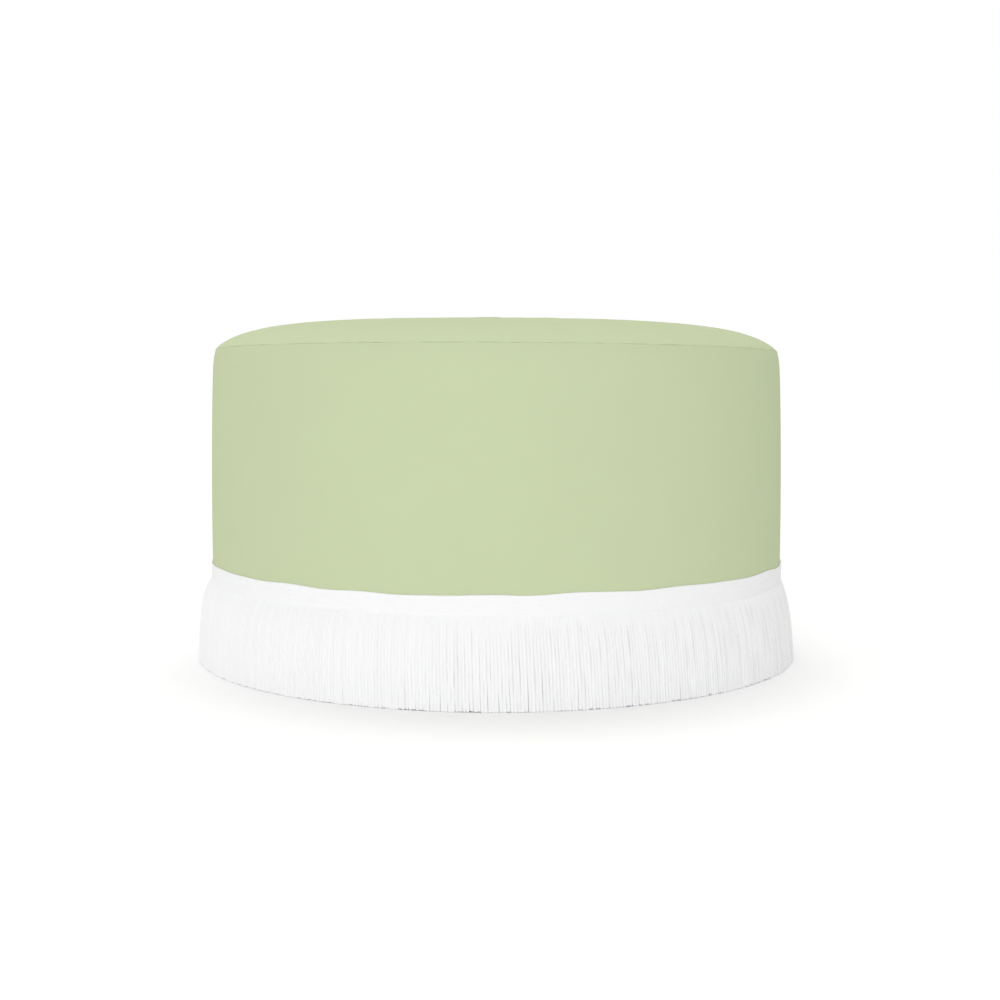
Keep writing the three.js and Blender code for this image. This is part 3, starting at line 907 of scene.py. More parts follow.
def turned_mesh(name, radius, height, sides):
    """A turned solid. Its outline runs up the outside, from the axis back to the axis."""
    points = turned_points(radius[1:-1], height[1:-1], sides)
    rows = len(points)
    ends = np.array([[0, 0, height[0]], [0, 0, height[-1]]])
    all_points = np.concatenate([points.reshape(-1, 3), ends])
    column = np.arange(sides)
    after = (column + 1) % sides
    low_end, high_end = rows * sides, rows * sides + 1
    lowest = np.stack([after, column, np.full(sides, low_end)], axis=1)
    top_row = (rows - 1) * sides
    highest = np.stack([top_row + column, top_row + after, np.full(sides, high_end)], axis=1)
    return new_mesh(name, all_points, [grid_faces(rows, sides, True), lowest, highest])


def ring_mesh(name, radius, height, sides):
    """A turned ring. Its outline runs up the outside and down the inside, back to its start."""
    points = turned_points(radius, height, sides)
    rows, sides = points.shape[:2]
    faces = grid_faces(rows + 1, sides, True) % (rows * sides)
    return new_mesh(name, points.reshape(-1, 3), [faces])


def waves(angle, seed, slowest, fastest, count=24):
    """Smooth noise round a circle, about -1 to 1, of slowest to fastest waves in a turn."""
    dice = np.random.default_rng(seed)
    turns = dice.integers(slowest, fastest + 1, count)
    phases = dice.uniform(0, 2 * math.pi, count)
    total = sum(np.sin(turn * angle + phase) for turn, phase in zip(turns, phases))
    return total / math.sqrt(2 * count)


def eased(share):
    """A share of 0 to 1 that starts and ends gently."""
    return share * share * (3 - 2 * share)


print("turned shapes and waves are ready")

# %% [markdown]
# ## How the cover settles
# The cover is pulled tight over soft padding. A seam never pulls evenly: between one stitch and the
# next the cloth is drawn in a little more or less. Blender's cloth solver spreads such small pulls
# into the cloth, with pressure for the padding below and the sewn edges held. The drum's own outline
# is known from the photograph, so only the unevenness is kept from the simulation, and its size is
# capped. Each cover then has a grid of push values, outwards in metres, for its finer mesh.

# %% Cloth simulation
settle_frames = 16
settle_cap = 0.3 * MM
solver_values = {
    "quality": 6,
    "tension_stiffness": 40,
    "compression_stiffness": 40,
    "shear_stiffness": 15,
    "bending_stiffness": 1.5,
    "use_pressure": True,
    "uniform_pressure_force": 4.0,
}


def settled(name, cut, faces, sewn, pulled):
    """How far each point of a cloth moves outwards when its sewn points are pulled."""
    mesh = new_mesh(name, cut, [faces])
    outwards = vertex_values(mesh.vertex_normals, "vector")
    cloth = bpy.data.objects.new(name, mesh)
    bpy.context.scene.collection.objects.link(cloth)
    cloth.shape_key_add(name="pulled")
    as_cut = cloth.shape_key_add(name="as_cut")
    start = cut.copy()
    start[sewn] = pulled
    start = start.astype(np.float32).ravel()
    mesh.shape_keys.key_blocks["pulled"].data.foreach_set("co", start)
    mesh.vertices.foreach_set("co", start)
    cloth.vertex_groups.new(name="sewn").add(np.flatnonzero(sewn).tolist(), 1.0, "REPLACE")
    solver = cloth.modifiers.new("settle", "CLOTH")
    for label, value in solver_values.items():
        setattr(solver.settings, label, value)
    solver.settings.vertex_group_mass = "sewn"
    solver.settings.rest_shape_key = as_cut
    solver.settings.effector_weights.gravity = 0
    solver.point_cache.frame_end = settle_frames
    for number in range(1, settle_frames + 1):
        bpy.context.scene.frame_set(number)
    result = cloth.evaluated_get(bpy.context.evaluated_depsgraph_get()).data
    ended = vertex_values(result.vertices, "co")
    bpy.data.objects.remove(cloth)
    bpy.context.scene.frame_set(1)
    return ((ended - cut) * outwards).sum(axis=1)


def uneven_part(moved, group):
    """What is left of a movement without each group's mean, capped."""
    mean = np.bincount(group, moved) / np.maximum(np.bincount(group), 1)
    return np.clip(moved - mean[group], -settle_cap, settle_cap)


def push_of_cloth(name, places, faces, sewn, pull, group):
    """Push of each point of a coarse grid, outwards in metres."""
    cut = places.reshape(-1, 3)
    angle = np.arctan2(cut[:, 1], cut[:, 0])
    pulled = (cut - points_at(pull, angle, 0))[sewn]
    return uneven_part(settled(name, cut, faces, sewn, pulled), group).reshape(places.shape[:2])


def refined(field):
    """A grid of values with a new value halfway between each two."""
    rows, columns = field.shape
    fine = np.zeros((2 * rows - 1, 2 * columns - 1))
    fine[::2, ::2] = field
    fine[1::2, ::2] = (field[1:] + field[:-1]) / 2
    fine[:, 1::2] = (fine[:, 2::2] + fine[:, :-1:2]) / 2
    return fine


print("cloth solver is ready, frames:", settle_frames)

# %% [markdown]
# ## Round panel of the seat
# This is one circle of cloth over the crown. A turned grid would be easy, but it ends in slivers in
# the middle, so a square grid is pushed out into a disc, whose faces stay even. Its rings are spaced
# closer at the shoulder. At the rim the cloth turns inwards, as the seam allowance of a plain seam
# does, and with the side band's turned edge this makes the fine groove that shows as the seam line.

# %% Sizes of the seat panel
cloth_thickness = 0.3 * MM
seam_fold = 0.4 * MM
seam_depth = 0.2 * MM
seam_allowance = 3.5 * MM
seam_half_gap = 0.02 * MM
pull_depth = 0.5 * MM
pull_seed = 7
panel_cells = 176
panel_rings = panel_cells // 2
fold_rings = 8
ring_crowding = 1.7
crowded_share = 0.8
even_share = 0.2


def disc_places(cells):
    """Ring number and angle of each point of a square grid pushed out into a disc."""
    line = np.arange(-cells // 2, cells // 2 + 1)
    a, b = np.meshgrid(line, line, indexing="ij")
    wide = np.abs(a) > np.abs(b)
    big, small = np.where(wide, a, b), np.where(wide, b, a)
    slant = np.divide(small, big, out=np.zeros(big.shape), where=big != 0) * math.pi / 4
    angle = np.where(wide, slant, math.pi / 2 - slant) + np.where(big < 0, math.pi, 0)
    return np.abs(big), angle


def even_steps(radius, height, steps):
    """Points of an outline at the given shares of its length."""
    length = np.concatenate([[0], np.cumsum(np.hypot(np.diff(radius), np.diff(height)))])
    at = np.asarray(steps) * length[-1]
    return np.interp(at, length, radius), np.interp(at, length, height)


def seat_outline():
    """Radius and height of the panel's outer face at each ring, with its rim turned in."""
    radius, height = crown_profile(0)
    rim_height = seam_height + seam_half_gap + seam_fold
    above = height > rim_height
    rest = 1 - np.linspace(0, 1, panel_rings - fold_rings + 1)
    steps = 1 - rest ** ring_crowding * crowded_share - rest * even_share
    crown = even_steps(radius[above], height[above], steps)
    bend = np.linspace(0, math.pi / 2, fold_rings - 1)
    fold_radius = seam_radius - seam_depth + seam_depth * np.cos(bend)
    fold_height = rim_height - seam_fold * np.sin(bend)
    radius = np.concatenate([crown[0], fold_radius, fold_radius[-1:] - seam_allowance])
    height = np.concatenate([crown[1], fold_height, fold_height[-1:]])
    return radius, height


def seam_pull(angle):
    """How far the seam's stitches draw the cloth in, by the angle round the drum."""
    return pull_depth * (waves(angle, pull_seed, 45, 140) + 0.6 * waves(angle, pull_seed + 1, 12, 40))


print("panel rings:", len(seat_outline()[0]))

# %% Seat panel
def make_seat_panel():
    """The crowned panel, with the unevenness that the solver gives it."""
    ring, angle = disc_places(panel_cells)
    outline_radius, outline_height = seat_outline()
    points = points_at(outline_radius[ring], angle, outline_height[ring])
    coarse_ring = ring[::2, ::2].ravel()
    coarse_angle = angle[::2, ::2].ravel()
    coarse_faces = grid_faces(panel_rings + 1, panel_rings + 1)[:, ::-1]
    sewn = coarse_ring >= panel_rings - fold_rings
    push = refined(push_of_cloth(
        "seat_panel_cut", points[::2, ::2], coarse_faces, sewn, seam_pull(coarse_angle), coarse_ring,
    ))
    faces = grid_faces(panel_cells + 1, panel_cells + 1)[:, ::-1]
    mesh = new_mesh("seat_panel", points.reshape(-1, 3), [faces])
    outwards = vertex_values(mesh.vertex_normals, "vector").astype(float)
    move_points(mesh, leaned(points.reshape(-1, 3) + outwards * push.reshape(-1, 1)))
    print(f"seat panel: pushed {push.min() / MM:.2f} to {push.max() / MM:.2f} mm")
    panel = show(mesh, cover_cloth_flat, "cover_cloth", "top_cover")
    thicken(panel, cloth_thickness)
    return panel


seat_panel = make_seat_panel()

# %% [markdown]
# ## Side band
# The band is one long strip, wrapped round the drum and closed by a plain seam at the back. Its top
# edge turns in under the seat panel's, and its lower edge goes round the base board and is stapled
# underneath, where the spare length lies in small gathers. The solver could sew a tube of cloth, but
# then the outline would no longer be the measured one. So the grid's rows follow that outline, and
# its two ends fold inwards at the back seam.

# %% Sizes of the side band
hem_turn = 6 * MM
hem_inner_radius = 321.9 * MM
close_rows_height = 375 * MM
band_columns = 481
band_end_columns = 5
gather_depth = 0.9 * MM
gather_start, gather_rise = 337 * MM, 12 * MM
gather_end, gather_fall = 375 * MM, 10 * MM
seam_zone = 2.2 * seam_fold
hem_pull_share = 0.5
back_pull_share = 0.6
back_pull_rate = 9


def band_outline():
    """Radius, height and facing of the band's outside, from its seam allowance to the gathers."""
    bend = np.linspace(math.pi / 2, 0, 6)
    fold_base = seam_height - seam_half_gap - seam_fold
    fold_radius = side_radius(fold_base) - seam_depth + seam_depth * np.cos(bend)
    fold_height = fold_base + seam_fold * np.sin(bend)
    hem_base = hem_height + hem_turn
    near_seam = np.linspace(fold_base, close_rows_height, 17)[1:]
    body = np.concatenate([near_seam, np.linspace(close_rows_height, hem_base, 45)[1:]])
    turn = np.linspace(0, math.pi / 2, 8)[1:]
    turn_radius = side_radius(hem_base) - hem_turn * (1 - np.cos(turn))
    turn_height = hem_base - hem_turn * np.sin(turn)
    under = np.linspace(turn_radius[-1], hem_inner_radius, 8)[1:]
    allowance = fold_radius[:1] - seam_allowance
    radius = np.concatenate([allowance, fold_radius, side_radius(body), turn_radius, under])
    level = np.full(len(under), hem_height)
    height = np.concatenate([fold_height[:1], fold_height, body, turn_height, level])
    slope = np.arctan2(np.gradient(height), np.gradient(radius))
    return radius, height, slope + math.pi / 2


def band_push(points, height, angle):
    """Push of the band's cloth, outwards in metres, where the seams and the hem hold it."""
    coarse = points[::2, ::2]
    rows, columns = coarse.shape[:2]
    angle_of = np.tile(angle[::2], rows)
    height_of = np.repeat(height[::2], columns)
    column_of = np.tile(np.arange(columns), rows)
    on_seam = height_of > seam_height - seam_zone
    on_hem = height_of < hem_height + hem_turn
    on_back = (column_of == 0) | (column_of == columns - 1)
    pull = np.where(on_seam, seam_pull(angle_of), hem_pull_share * seam_pull(angle_of))
    back_pull = back_pull_share * seam_pull(height_of * back_pull_rate)
    pull = np.where(on_back & ~on_seam, back_pull, pull)
    row_of = np.repeat(np.arange(rows), columns)
    faces = grid_faces(rows, columns)[:, ::-1]
    return refined(push_of_cloth(
        "side_band_cut", coarse, faces, on_seam | on_hem | on_back, pull, row_of,
    ))


def gathers(radius, height, angle):
    """Push of the small gathers under the base board."""
    rise = np.clip((radius - gather_start) / gather_rise, 0, 1)
    fall = np.clip((gather_end - radius) / gather_fall, 0, 1)
    underneath = height < hem_height + 0.1 * MM
    folds = np.clip(waves(angle, 31, 150, 210), -1, 1) * gather_depth
    return (rise * underneath)[:, None] * folds * fall[:, None]


def build_band_sheet(radius, height, angle, facing, push):
    """Points of the pushed band, with both ends turned in at the back seam."""
    out, up = np.cos(facing)[:, None], np.sin(facing)[:, None]
    out_radius = radius[:, None] + out * push
    out_height = height[:, None] + up * push
    bend = np.linspace(math.pi / 2, 0, band_end_columns)
    depth = np.concatenate([[seam_depth + seam_allowance], seam_depth * (1 - np.cos(bend[:-1]))])
    aside = np.concatenate([[0], seam_fold * (1 - np.sin(bend[:-1]))]) + seam_half_gap
    sink = np.clip((height - hem_height) / hem_turn, 0.05, 1)[:, None] * depth
    end_radius = out_radius[:, :1] - out * sink
    end_height = out_height[:, :1] - up * sink
    end_angle = math.pi / 2 + aside / body_radius
    first = (seam_fold + seam_half_gap) / body_radius
    inner_angle = math.pi / 2 + first + (angle - math.pi / 2) * (1 - first / math.pi)
    all_radius = np.concatenate([end_radius, out_radius, end_radius[:, ::-1]], axis=1)
    all_height = np.concatenate([end_height, out_height, end_height[:, ::-1]], axis=1)
    all_angle = np.concatenate([end_angle, inner_angle, math.pi - end_angle[::-1] + 2 * math.pi])
    return points_at(all_radius, all_angle, all_height)


print("band rows:", len(band_outline()[0]))

# %% Side band
def make_side_band():
    """The side band, uneven from the solver and the gathers."""
    radius, height, facing = band_outline()
    angle = math.pi / 2 + np.linspace(0, 2 * math.pi, band_columns)
    points = turned_points(radius, height, angle)
    push = band_push(points, height, angle) + gathers(radius, height, angle)
    shape = leaned(build_band_sheet(radius, height, angle, facing, push))
    mesh = new_mesh("side_band", shape.reshape(-1, 3), [grid_faces(*shape.shape[:2])[:, ::-1]])
    print(f"side band: pushed {push.min() / MM:.2f} to {push.max() / MM:.2f} mm")
    band = show(mesh, cover_cloth_round, "cover_cloth", "side_cover")
    thicken(band, cloth_thickness)
    return band


side_band = make_side_band()

# %% [markdown]
# ## Heading of the fringe
# The fringe hangs from a woven tape with fine cords along it, which is glued on over the cover. Its
# weave could be a bump alone, but the fine cords show at the tape's upper edge and in its shade. So
# it is a closed strip with those cords as ridges in its outline, and its two ends butt at the back.
# No hand lays a tape quite level, so its height wanders by a millimetre.

# %% Fringe heading
heading_gap = 0.15 * MM
heading_thickness = 1.7 * MM
heading_ridges = 6
ridge_height = 0.3 * MM
round_start, round_length, round_amount = 0.94, 0.07, 0.8
heading_inset = 0.3 * MM
heading_joint = 0.25 * MM
heading_unevenness = 1.3 * MM
base_follows, top_follows = 0.3, 0.7
heading_waver = 0.1 * MM
heading_seed = 11000
heading_columns = 721


def heading_outline():
    """Depth from the cover and height, up the tape's outer face and down its inner face."""
    share = np.linspace(0, 1, 49)
    ridges = ridge_height * (np.abs(np.cos(share * (heading_ridges - 0.5) * math.pi)) - 1)
    past = np.clip((share - round_start) / round_length, 0, 1)
    rounding = -heading_thickness * (1 - np.sqrt(1 - past ** 2)) * round_amount
    outer = heading_thickness + ridges + rounding
    height = heading_base + (heading_top - heading_base) * share
    inner_height = np.linspace(heading_top - heading_inset, heading_base + heading_inset, 5)
    return np.concatenate([outer, np.zeros(5)]), np.concatenate([height, inner_height])


def heading_wander(angle):
    """How far the tape lies above its mean height, by the angle."""
    return heading_unevenness * waves(angle, heading_seed, 3, 34)


def make_heading():
    """The heading tape."""
    depth, height = heading_outline()
    joint = heading_joint / body_radius
    angle = math.pi / 2 + np.linspace(joint, 2 * math.pi - joint, heading_columns)
    share = np.clip((height - heading_base) / (heading_top - heading_base), 0, 1)[:, None]
    lift = heading_wander(angle) * (base_follows + top_follows * share)
    waver = heading_waver * waves(angle, 53, 60, 240) * share
    radius = side_radius(height)[:, None] + heading_gap + depth[:, None] + waver * (depth > 0)[:, None]
    points = points_at(radius, angle, height[:, None] + lift)
    rows = len(depth)
    faces = grid_faces(rows + 1, heading_columns) % (rows * heading_columns)
    first = (np.arange(rows) * heading_columns)[None, :]
    ends = [first, first[:, ::-1] + heading_columns - 1]
    mesh = new_mesh("heading_tape", points.reshape(-1, 3), [faces, *ends])
    return show(mesh, fringe_yarn_heading, "fringe_yarn", "fringe_heading")


heading_tape = make_heading()

# %% [markdown]
# ## Cords of the fringe
# A bullion fringe is a close row of twisted cords. Each is a loop of yarn that is twisted on itself,
# so it ends in a small round bend. Hair or a texture could stand for them, but neither gives real
# cords for a library, so each cord is a tube with a twisted section of three lobes, and all of them
# are placed together as one array of points. Below the heading the cords lie flat and side by side.
# Further down they stand off the cover, sooner on the left, turn round in section, lean a little and
# bunch in small groups. A second row behind closes the gaps, as the loops' back strands do.

# %% Sizes of the cords
fringe_radius = 397 * MM
cord_count = 624
cord_width = 3.8 * MM
cord_lobe = 0.06
cord_turn = 13 * MM
cord_ring_step = 1.67 * MM
cord_end_rings = 8
cord_lean = 3.2 * MM
cord_flare = 17.3 * MM
cord_flare_length = 28 * MM
cord_flare_inset = 1.1 * MM
cord_squeeze = 0.008
cord_overlap = 1.1
flat_share = 0.45
flat_length = 4 * MM
round_off_length = 30 * MM
cord_flatness = 4.2
cord_flatness_at_top = 6.0
cord_seed = 11
fringe_sway = 1.0 * MM


def fringe_reach(height, angle):
    """Outer radius of the fringe at a height. The cords stand off sooner on the left."""
    hang = np.clip(flare_top - height, 0, None)
    length = cord_flare_length * (1 + 0.3 * np.cos(angle))
    return body_radius - cord_flare_inset + cord_flare * (1 - np.exp(-hang / length))


def cord_heights(top, width, step, end):
    """Height of each cord's rings, from its top to its end, with close rings at the bend."""
    share = np.linspace(0, 1, int(round(top / step)))
    bend = 0.5 * width / top
    close = 1 - bend * (1 - np.linspace(0, 1, cord_end_rings)) ** 2
    share = np.concatenate([share[:-1] * (1 - bend), close])
    return top - (top - end[:, None]) * share


def bunches(count, dice, smallest, largest):
    """Each cord's place in its bunch, from the bunch's middle, and its bunch's number."""
    place, bunch = [], []
    while len(place) < count:
        size = min(int(dice.integers(smallest, largest + 1)), count - len(place))
        place.extend(np.arange(size) - (size - 1) / 2)
        bunch.extend([bunch[-1] + 1 if bunch else 0] * size)
    return np.array(place)[:, None], np.array(bunch)


def waves_along(drop, dice, shortest, longest):
    """A smooth wave down each cord, with a length and a phase of its own."""
    length = dice.uniform(shortest, longest, (len(drop), 1))
    return np.sin(2 * math.pi * drop / length + dice.uniform(0, 2 * math.pi, (len(drop), 1)))


print(f"cords: {cord_count}, each {2 * math.pi * fringe_radius / cord_count / MM:.2f} mm from the next")

# %% [markdown]
# ## What makes the cords uneven
# A fringe that is quite regular looks like a comb. The photographed cords are more alike on the left
# and looser on the right, most of them end level and a few are lifted, and the dark lines between
# them start at different heights and fade towards the floor. Hundreds of cords are too many to place
# by hand, so random draws and waves round the drum decide it. The dark lines are painted shade: a
# mask on the mesh, stronger towards the right, because a groove this narrow would need many more
# faces to shade itself.

# %% Unevenness of the cords
end_clearance = 0.02 * MM
end_lift = 1.1 * MM
aside_spread, aside_wave = 0.07 * MM, 0.16 * MM
cord_spread, bunch_spread, out_wave = 0.1 * MM, 0.12 * MM, 0.1 * MM
swell_spread = 0.025
thinnest_end = 0.0004
groove_start, groove_start_spread, groove_fade_in = 3 * MM, 9 * MM, 9 * MM
groove_power = 5
groove_closing = 0.5
closing_start, closing_length = 40 * MM, 40 * MM


def looseness_and_shade(angle):
    """How loose the cords and their painted groove shade are: little on the left, more on the right."""
    loose_and_shade = 0.65 + 1.4 * np.cos(angle) + 0.4 * waves(angle, 91, 14, 60)
    return np.clip(loose_and_shade, 0.1, None)


def end_bend(left, roundness):
    """Share of its width that a cord has near its end. Both lengths are in cord widths."""
    return np.sqrt(np.clip(1 - np.clip(1 - left / roundness, 0, 1) ** 2, thinnest_end, 1))


def sideways_wander(drop, grown, dice, in_bunch, pitch):
    """How far each cord's middle lies aside, down its length."""
    aside = -cord_squeeze * in_bunch * pitch * grown
    aside = aside + dice.normal(0, aside_spread, (len(drop), 1)) * grown
    return aside + waves_along(drop, dice, 35 * MM, 90 * MM) * aside_wave * grown


def outward_wander(drop, grown, dice, bunch, loose_and_shade, base_angle):
    """How far each cord's middle lies out of the fringe's even reach, down its length."""
    out = dice.normal(0, cord_spread, (len(drop), 1)) * grown * loose_and_shade
    out = out + dice.normal(0, bunch_spread, bunch[-1] + 1)[bunch][:, None] * grown * loose_and_shade
    out = out + waves_along(drop, dice, 30 * MM, 80 * MM) * out_wave * grown
    return out + fringe_sway * waves(base_angle, 83, 2, 9) * grown


def groove_shades(dice, bunch, bunch_shade_share):
    """Painted shade of the groove after each cord: by chance on the left, by bunches on the right."""
    chance = dice.uniform(0, 1, len(bunch))
    between = np.where(np.roll(bunch, -1) != bunch, 1.0, 0.5 * chance)
    return (1 - bunch_shade_share) * chance ** 1.5 + bunch_shade_share * between


def painted_shade_down_cord(drop, dice, loose_and_shade, bunch_shade_share):
    """How strong a cord's painted groove shade is down its length. It fades towards the floor."""
    opening = groove_start + groove_start_spread * dice.uniform(0, 1, (len(drop), 1))
    opened = np.clip((drop - opening) / groove_fade_in, 0, 1) * loose_and_shade
    opened = opened * (0.7 + 0.5 * waves_along(drop, dice, 40 * MM, 120 * MM))
    closing = groove_closing * (1 - 0.8 * bunch_shade_share[:, None])
    return opened * (1 - closing * np.clip((drop - closing_start) / closing_length, 0, 1))


sides_of_drum = np.array([0.0, math.pi])
print("looseness on the right and on the left:", looseness_and_shade(sides_of_drum).round(2).tolist())

# %% Points of the cords
def cord_points(count, seed, top, width, sides, step, inset, phase):
    """A row of cords as an array of cord, ring, corner and place, with a mask of painted shade last."""
    dice = np.random.default_rng(seed)
    lifted = dice.uniform(0, 1, count) ** 8
    rounded = np.random.default_rng(seed + 50).uniform(0, 1, count) ** 3
    end = end_clearance + end_lift * lifted
    height = cord_heights(top, width, step, end)
    drop = np.clip(heading_base - height, 0, None)
    grown = (drop / heading_base) ** 1.3
    pitch = 2 * math.pi * fringe_radius / count
    base_angle = (np.arange(count)[:, None] + phase) * 2 * math.pi / count
    loose_and_shade = looseness_and_shade(base_angle)
    # The share of the right side, where the painted groove shade follows the bunches.
    bunch_shade_share = np.clip(np.cos(base_angle[:, 0]), 0, 1)
    in_bunch, bunch = bunches(count, dice, 2, 5)

    # The section goes from a flat oblong below the heading to a rounder one further down.
    round_share = np.clip((drop - flat_length) / round_off_length, 0, 1)
    half_out = width / 2 * (flat_share + (1 - flat_share) * round_share)
    half_side = pitch / 2 * cord_overlap
    room = (pitch / 2 * (1 - cord_squeeze * grown))[..., None]
    aside = sideways_wander(drop, grown, dice, in_bunch, pitch)
    angle = base_angle + (cord_lean * drop / heading_base + aside) / fringe_radius
    swell = 1 + dice.normal(0, swell_spread, (count, 1))
    out = outward_wander(drop, grown, dice, bunch, loose_and_shade, base_angle)
    middle = fringe_reach(height, base_angle) - half_out - inset + out

    corner = np.arange(sides) * 2 * math.pi / sides
    twist = 2 * math.pi * height / cord_turn + dice.uniform(0, 2 * math.pi, (count, 1))
    round_share = round_share[..., None]
    lobes = 1 + cord_lobe * np.cos(3 * (corner - twist[..., None])) * round_share ** 0.5
    scale = swell[..., None] * lobes
    flatness = cord_flatness_at_top + (cord_flatness - cord_flatness_at_top) * round_share ** 0.6
    across_x = np.sign(np.cos(corner)) * np.abs(np.cos(corner)) ** (2 / flatness)
    across_y = np.sign(np.sin(corner)) * np.abs(np.sin(corner)) ** (2 / flatness)
    sideways = np.clip(half_side * scale * across_y, -room, room)

    # Painted shade in the grooves between cords, darkest on a cord's sides where it meets the next.
    painted_shade_beside = groove_shades(dice, bunch, bunch_shade_share)[:, None, None]
    shade = np.where(across_y > 0, painted_shade_beside, np.roll(painted_shade_beside, 1, axis=0))
    opened = painted_shade_down_cord(drop, dice, loose_and_shade, bunch_shade_share)
    groove = shade * (np.abs(sideways) / (pitch / 2)) ** groove_power * opened[..., None]

    # Both ways of the section close over the last part of the cord, which makes its bend.
    left = (height - end[:, None]) / width
    closing_out = end_bend(left, (0.02 + 0.2 * lifted)[:, None])
    closing_side = end_bend(left, (0.05 + 0.9 * rounded)[:, None])
    outwards = middle[..., None] + (half_out * closing_out)[..., None] * scale * across_x
    place = angle[..., None] + sideways * closing_side[..., None] / middle[..., None]
    level = np.broadcast_to(height[..., None], place.shape)
    return np.stack([outwards * np.cos(place), outwards * np.sin(place), level, groove], axis=-1)


front_row = cord_points(
    cord_count, cord_seed, top=heading_base + 1.5 * MM, width=cord_width, sides=12,
    step=cord_ring_step, inset=0, phase=0.5,
)
back_row = cord_points(
    cord_count, cord_seed + 1, top=84 * MM, width=cord_width, sides=6,
    step=4 * MM, inset=3.4 * MM, phase=0.0,
)
print("points of the front row and the back row:", front_row.shape, back_row.shape)

# %% [markdown]
# ## Pieces of the fringe
# The real fringe is one strip. The CAD has it in four quarters, so that each can be checked, and the
# cords follow those quarters: two pieces of the front row and one of the back row for each. One mesh
# for each cord would be closer to the real thing, but hundreds of objects are slow to handle.

# %% Fringe cords
fringe_quarters = ["fringe_right", "fringe_back", "fringe_left", "fringe_front"]
front_parts = 8


def cords_piece(name, row, number, parts, seed, quarter):
    """One part of a row of cords as a piece, with a tone for each cord."""
    size = cord_count // parts
    chosen = (cord_count * 7 // 8 + number * size + np.arange(size)) % cord_count
    points = row[chosen]
    count, rings, sides = points.shape[:3]
    mesh = new_mesh(name, points[..., :3].reshape(-1, 3), many_tubes(count, rings, sides, True))
    tone = np.random.default_rng(seed + number).uniform(0, 1, count)
    keep_values(mesh, "cord_tone", np.repeat(tone, rings * sides))
    # The mask of painted shade in the grooves between cords.
    keep_values(mesh, "cord_painted_shade", points[..., 3])
    return show(mesh, fringe_yarn_cords, "fringe_yarn", quarter)


def make_fringe():
    """Eight pieces of the front row and four of the back row."""
    pieces = []
    for number in range(front_parts):
        name = f"fringe_cords_{number + 1}"
        quarter = fringe_quarters[number * 4 // front_parts]
        pieces.append(cords_piece(name, front_row, number, front_parts, 100, quarter))
    for number, quarter in enumerate(fringe_quarters):
        name = f"fringe_back_row_{number + 1}"
        pieces.append(cords_piece(name, back_row, number, 4, 200, quarter))
    return pieces


fringe_cords = make_fringe()

# %% [markdown]
# ## Wadding and foam
# Under the cover lies polyester wadding, a soft and slightly uneven sheet, on the seat and round the
# wall. The seat foam is one moulded block. The solver could puff them up, but the cover's outline is
# measured, so they are turned solids set in from it, with small lumps from smooth noise. The side
# wadding has a groove at the back for the band's seam allowance.

# %% Wadding and foam
wadding_depth = 13.5 * MM
foam_depth = 13.8 * MM
wadding_lump, wadding_lump_size = 0.5 * MM, 24 * MM
foam_lump, foam_lump_size = 0.15 * MM, 40 * MM
slack = 0.15 * MM
crown_clearance = 3 * MM
crown_bevel = [(369 * MM, 0.3 * MM), (371.5 * MM, 1.9 * MM)]
rim_bevel = [(371 * MM, 2 * MM), (368.5 * MM, 1.1 * MM), (362.6 * MM, 0.5 * MM)]
wall_radius = 367.6 * MM
rail_radius = 362.6 * MM
face_radius = 372 * MM
ledge_gap = 0.2 * MM
board_gap = 0.1 * MM
back_groove_places = np.array([-8, -3.4, -2.4, 2.4, 3.4, 8]) * MM
back_groove_half_width = 2.6 * MM
back_groove_depth = 5.6 * MM
back_groove_angle = 0.03
foam_edge_radius = 2 * MM


def make_lumpy(mesh, amount, size, seed):
    """Moves each point inwards by up to the amount, by smooth noise of a size."""
    points = vertex_values(mesh.vertices, "co")
    facing = vertex_values(mesh.vertex_normals, "vector").astype(float)
    shift = Vector((seed * 3.7, seed * 1.3, seed * 5.1))
    lumps = [noise.noise(Vector(point.tolist()) / size + shift) for point in points]
    inwards = facing * (np.array(lumps)[:, None] * 0.5 + 0.5) * amount
    move_points(mesh, leaned(points - inwards))
    return mesh


def make_crown_wadding():
    """The round sheet of wadding on the seat, with its rim bevelled to clear the seam."""
    lower_radius, lower_height = crown_profile(wadding_depth - slack, 48)
    upper_radius, upper_height = crown_profile(cloth_thickness + 3 * slack, 60)
    above = upper_height > seam_height + crown_clearance
    bevel_radius, bevel_rise = np.transpose(crown_bevel)
    radius = np.concatenate([lower_radius, bevel_radius, upper_radius[above][::-1]])
    height = np.concatenate([lower_height, seam_height + bevel_rise, upper_height[above][::-1]])
    mesh = turned_mesh("seat_wadding", radius, height, 160)
    make_lumpy(mesh, wadding_lump, wadding_lump_size, 1)
    return show(mesh, wadding_fibre, "wadding", "crown_wadding")


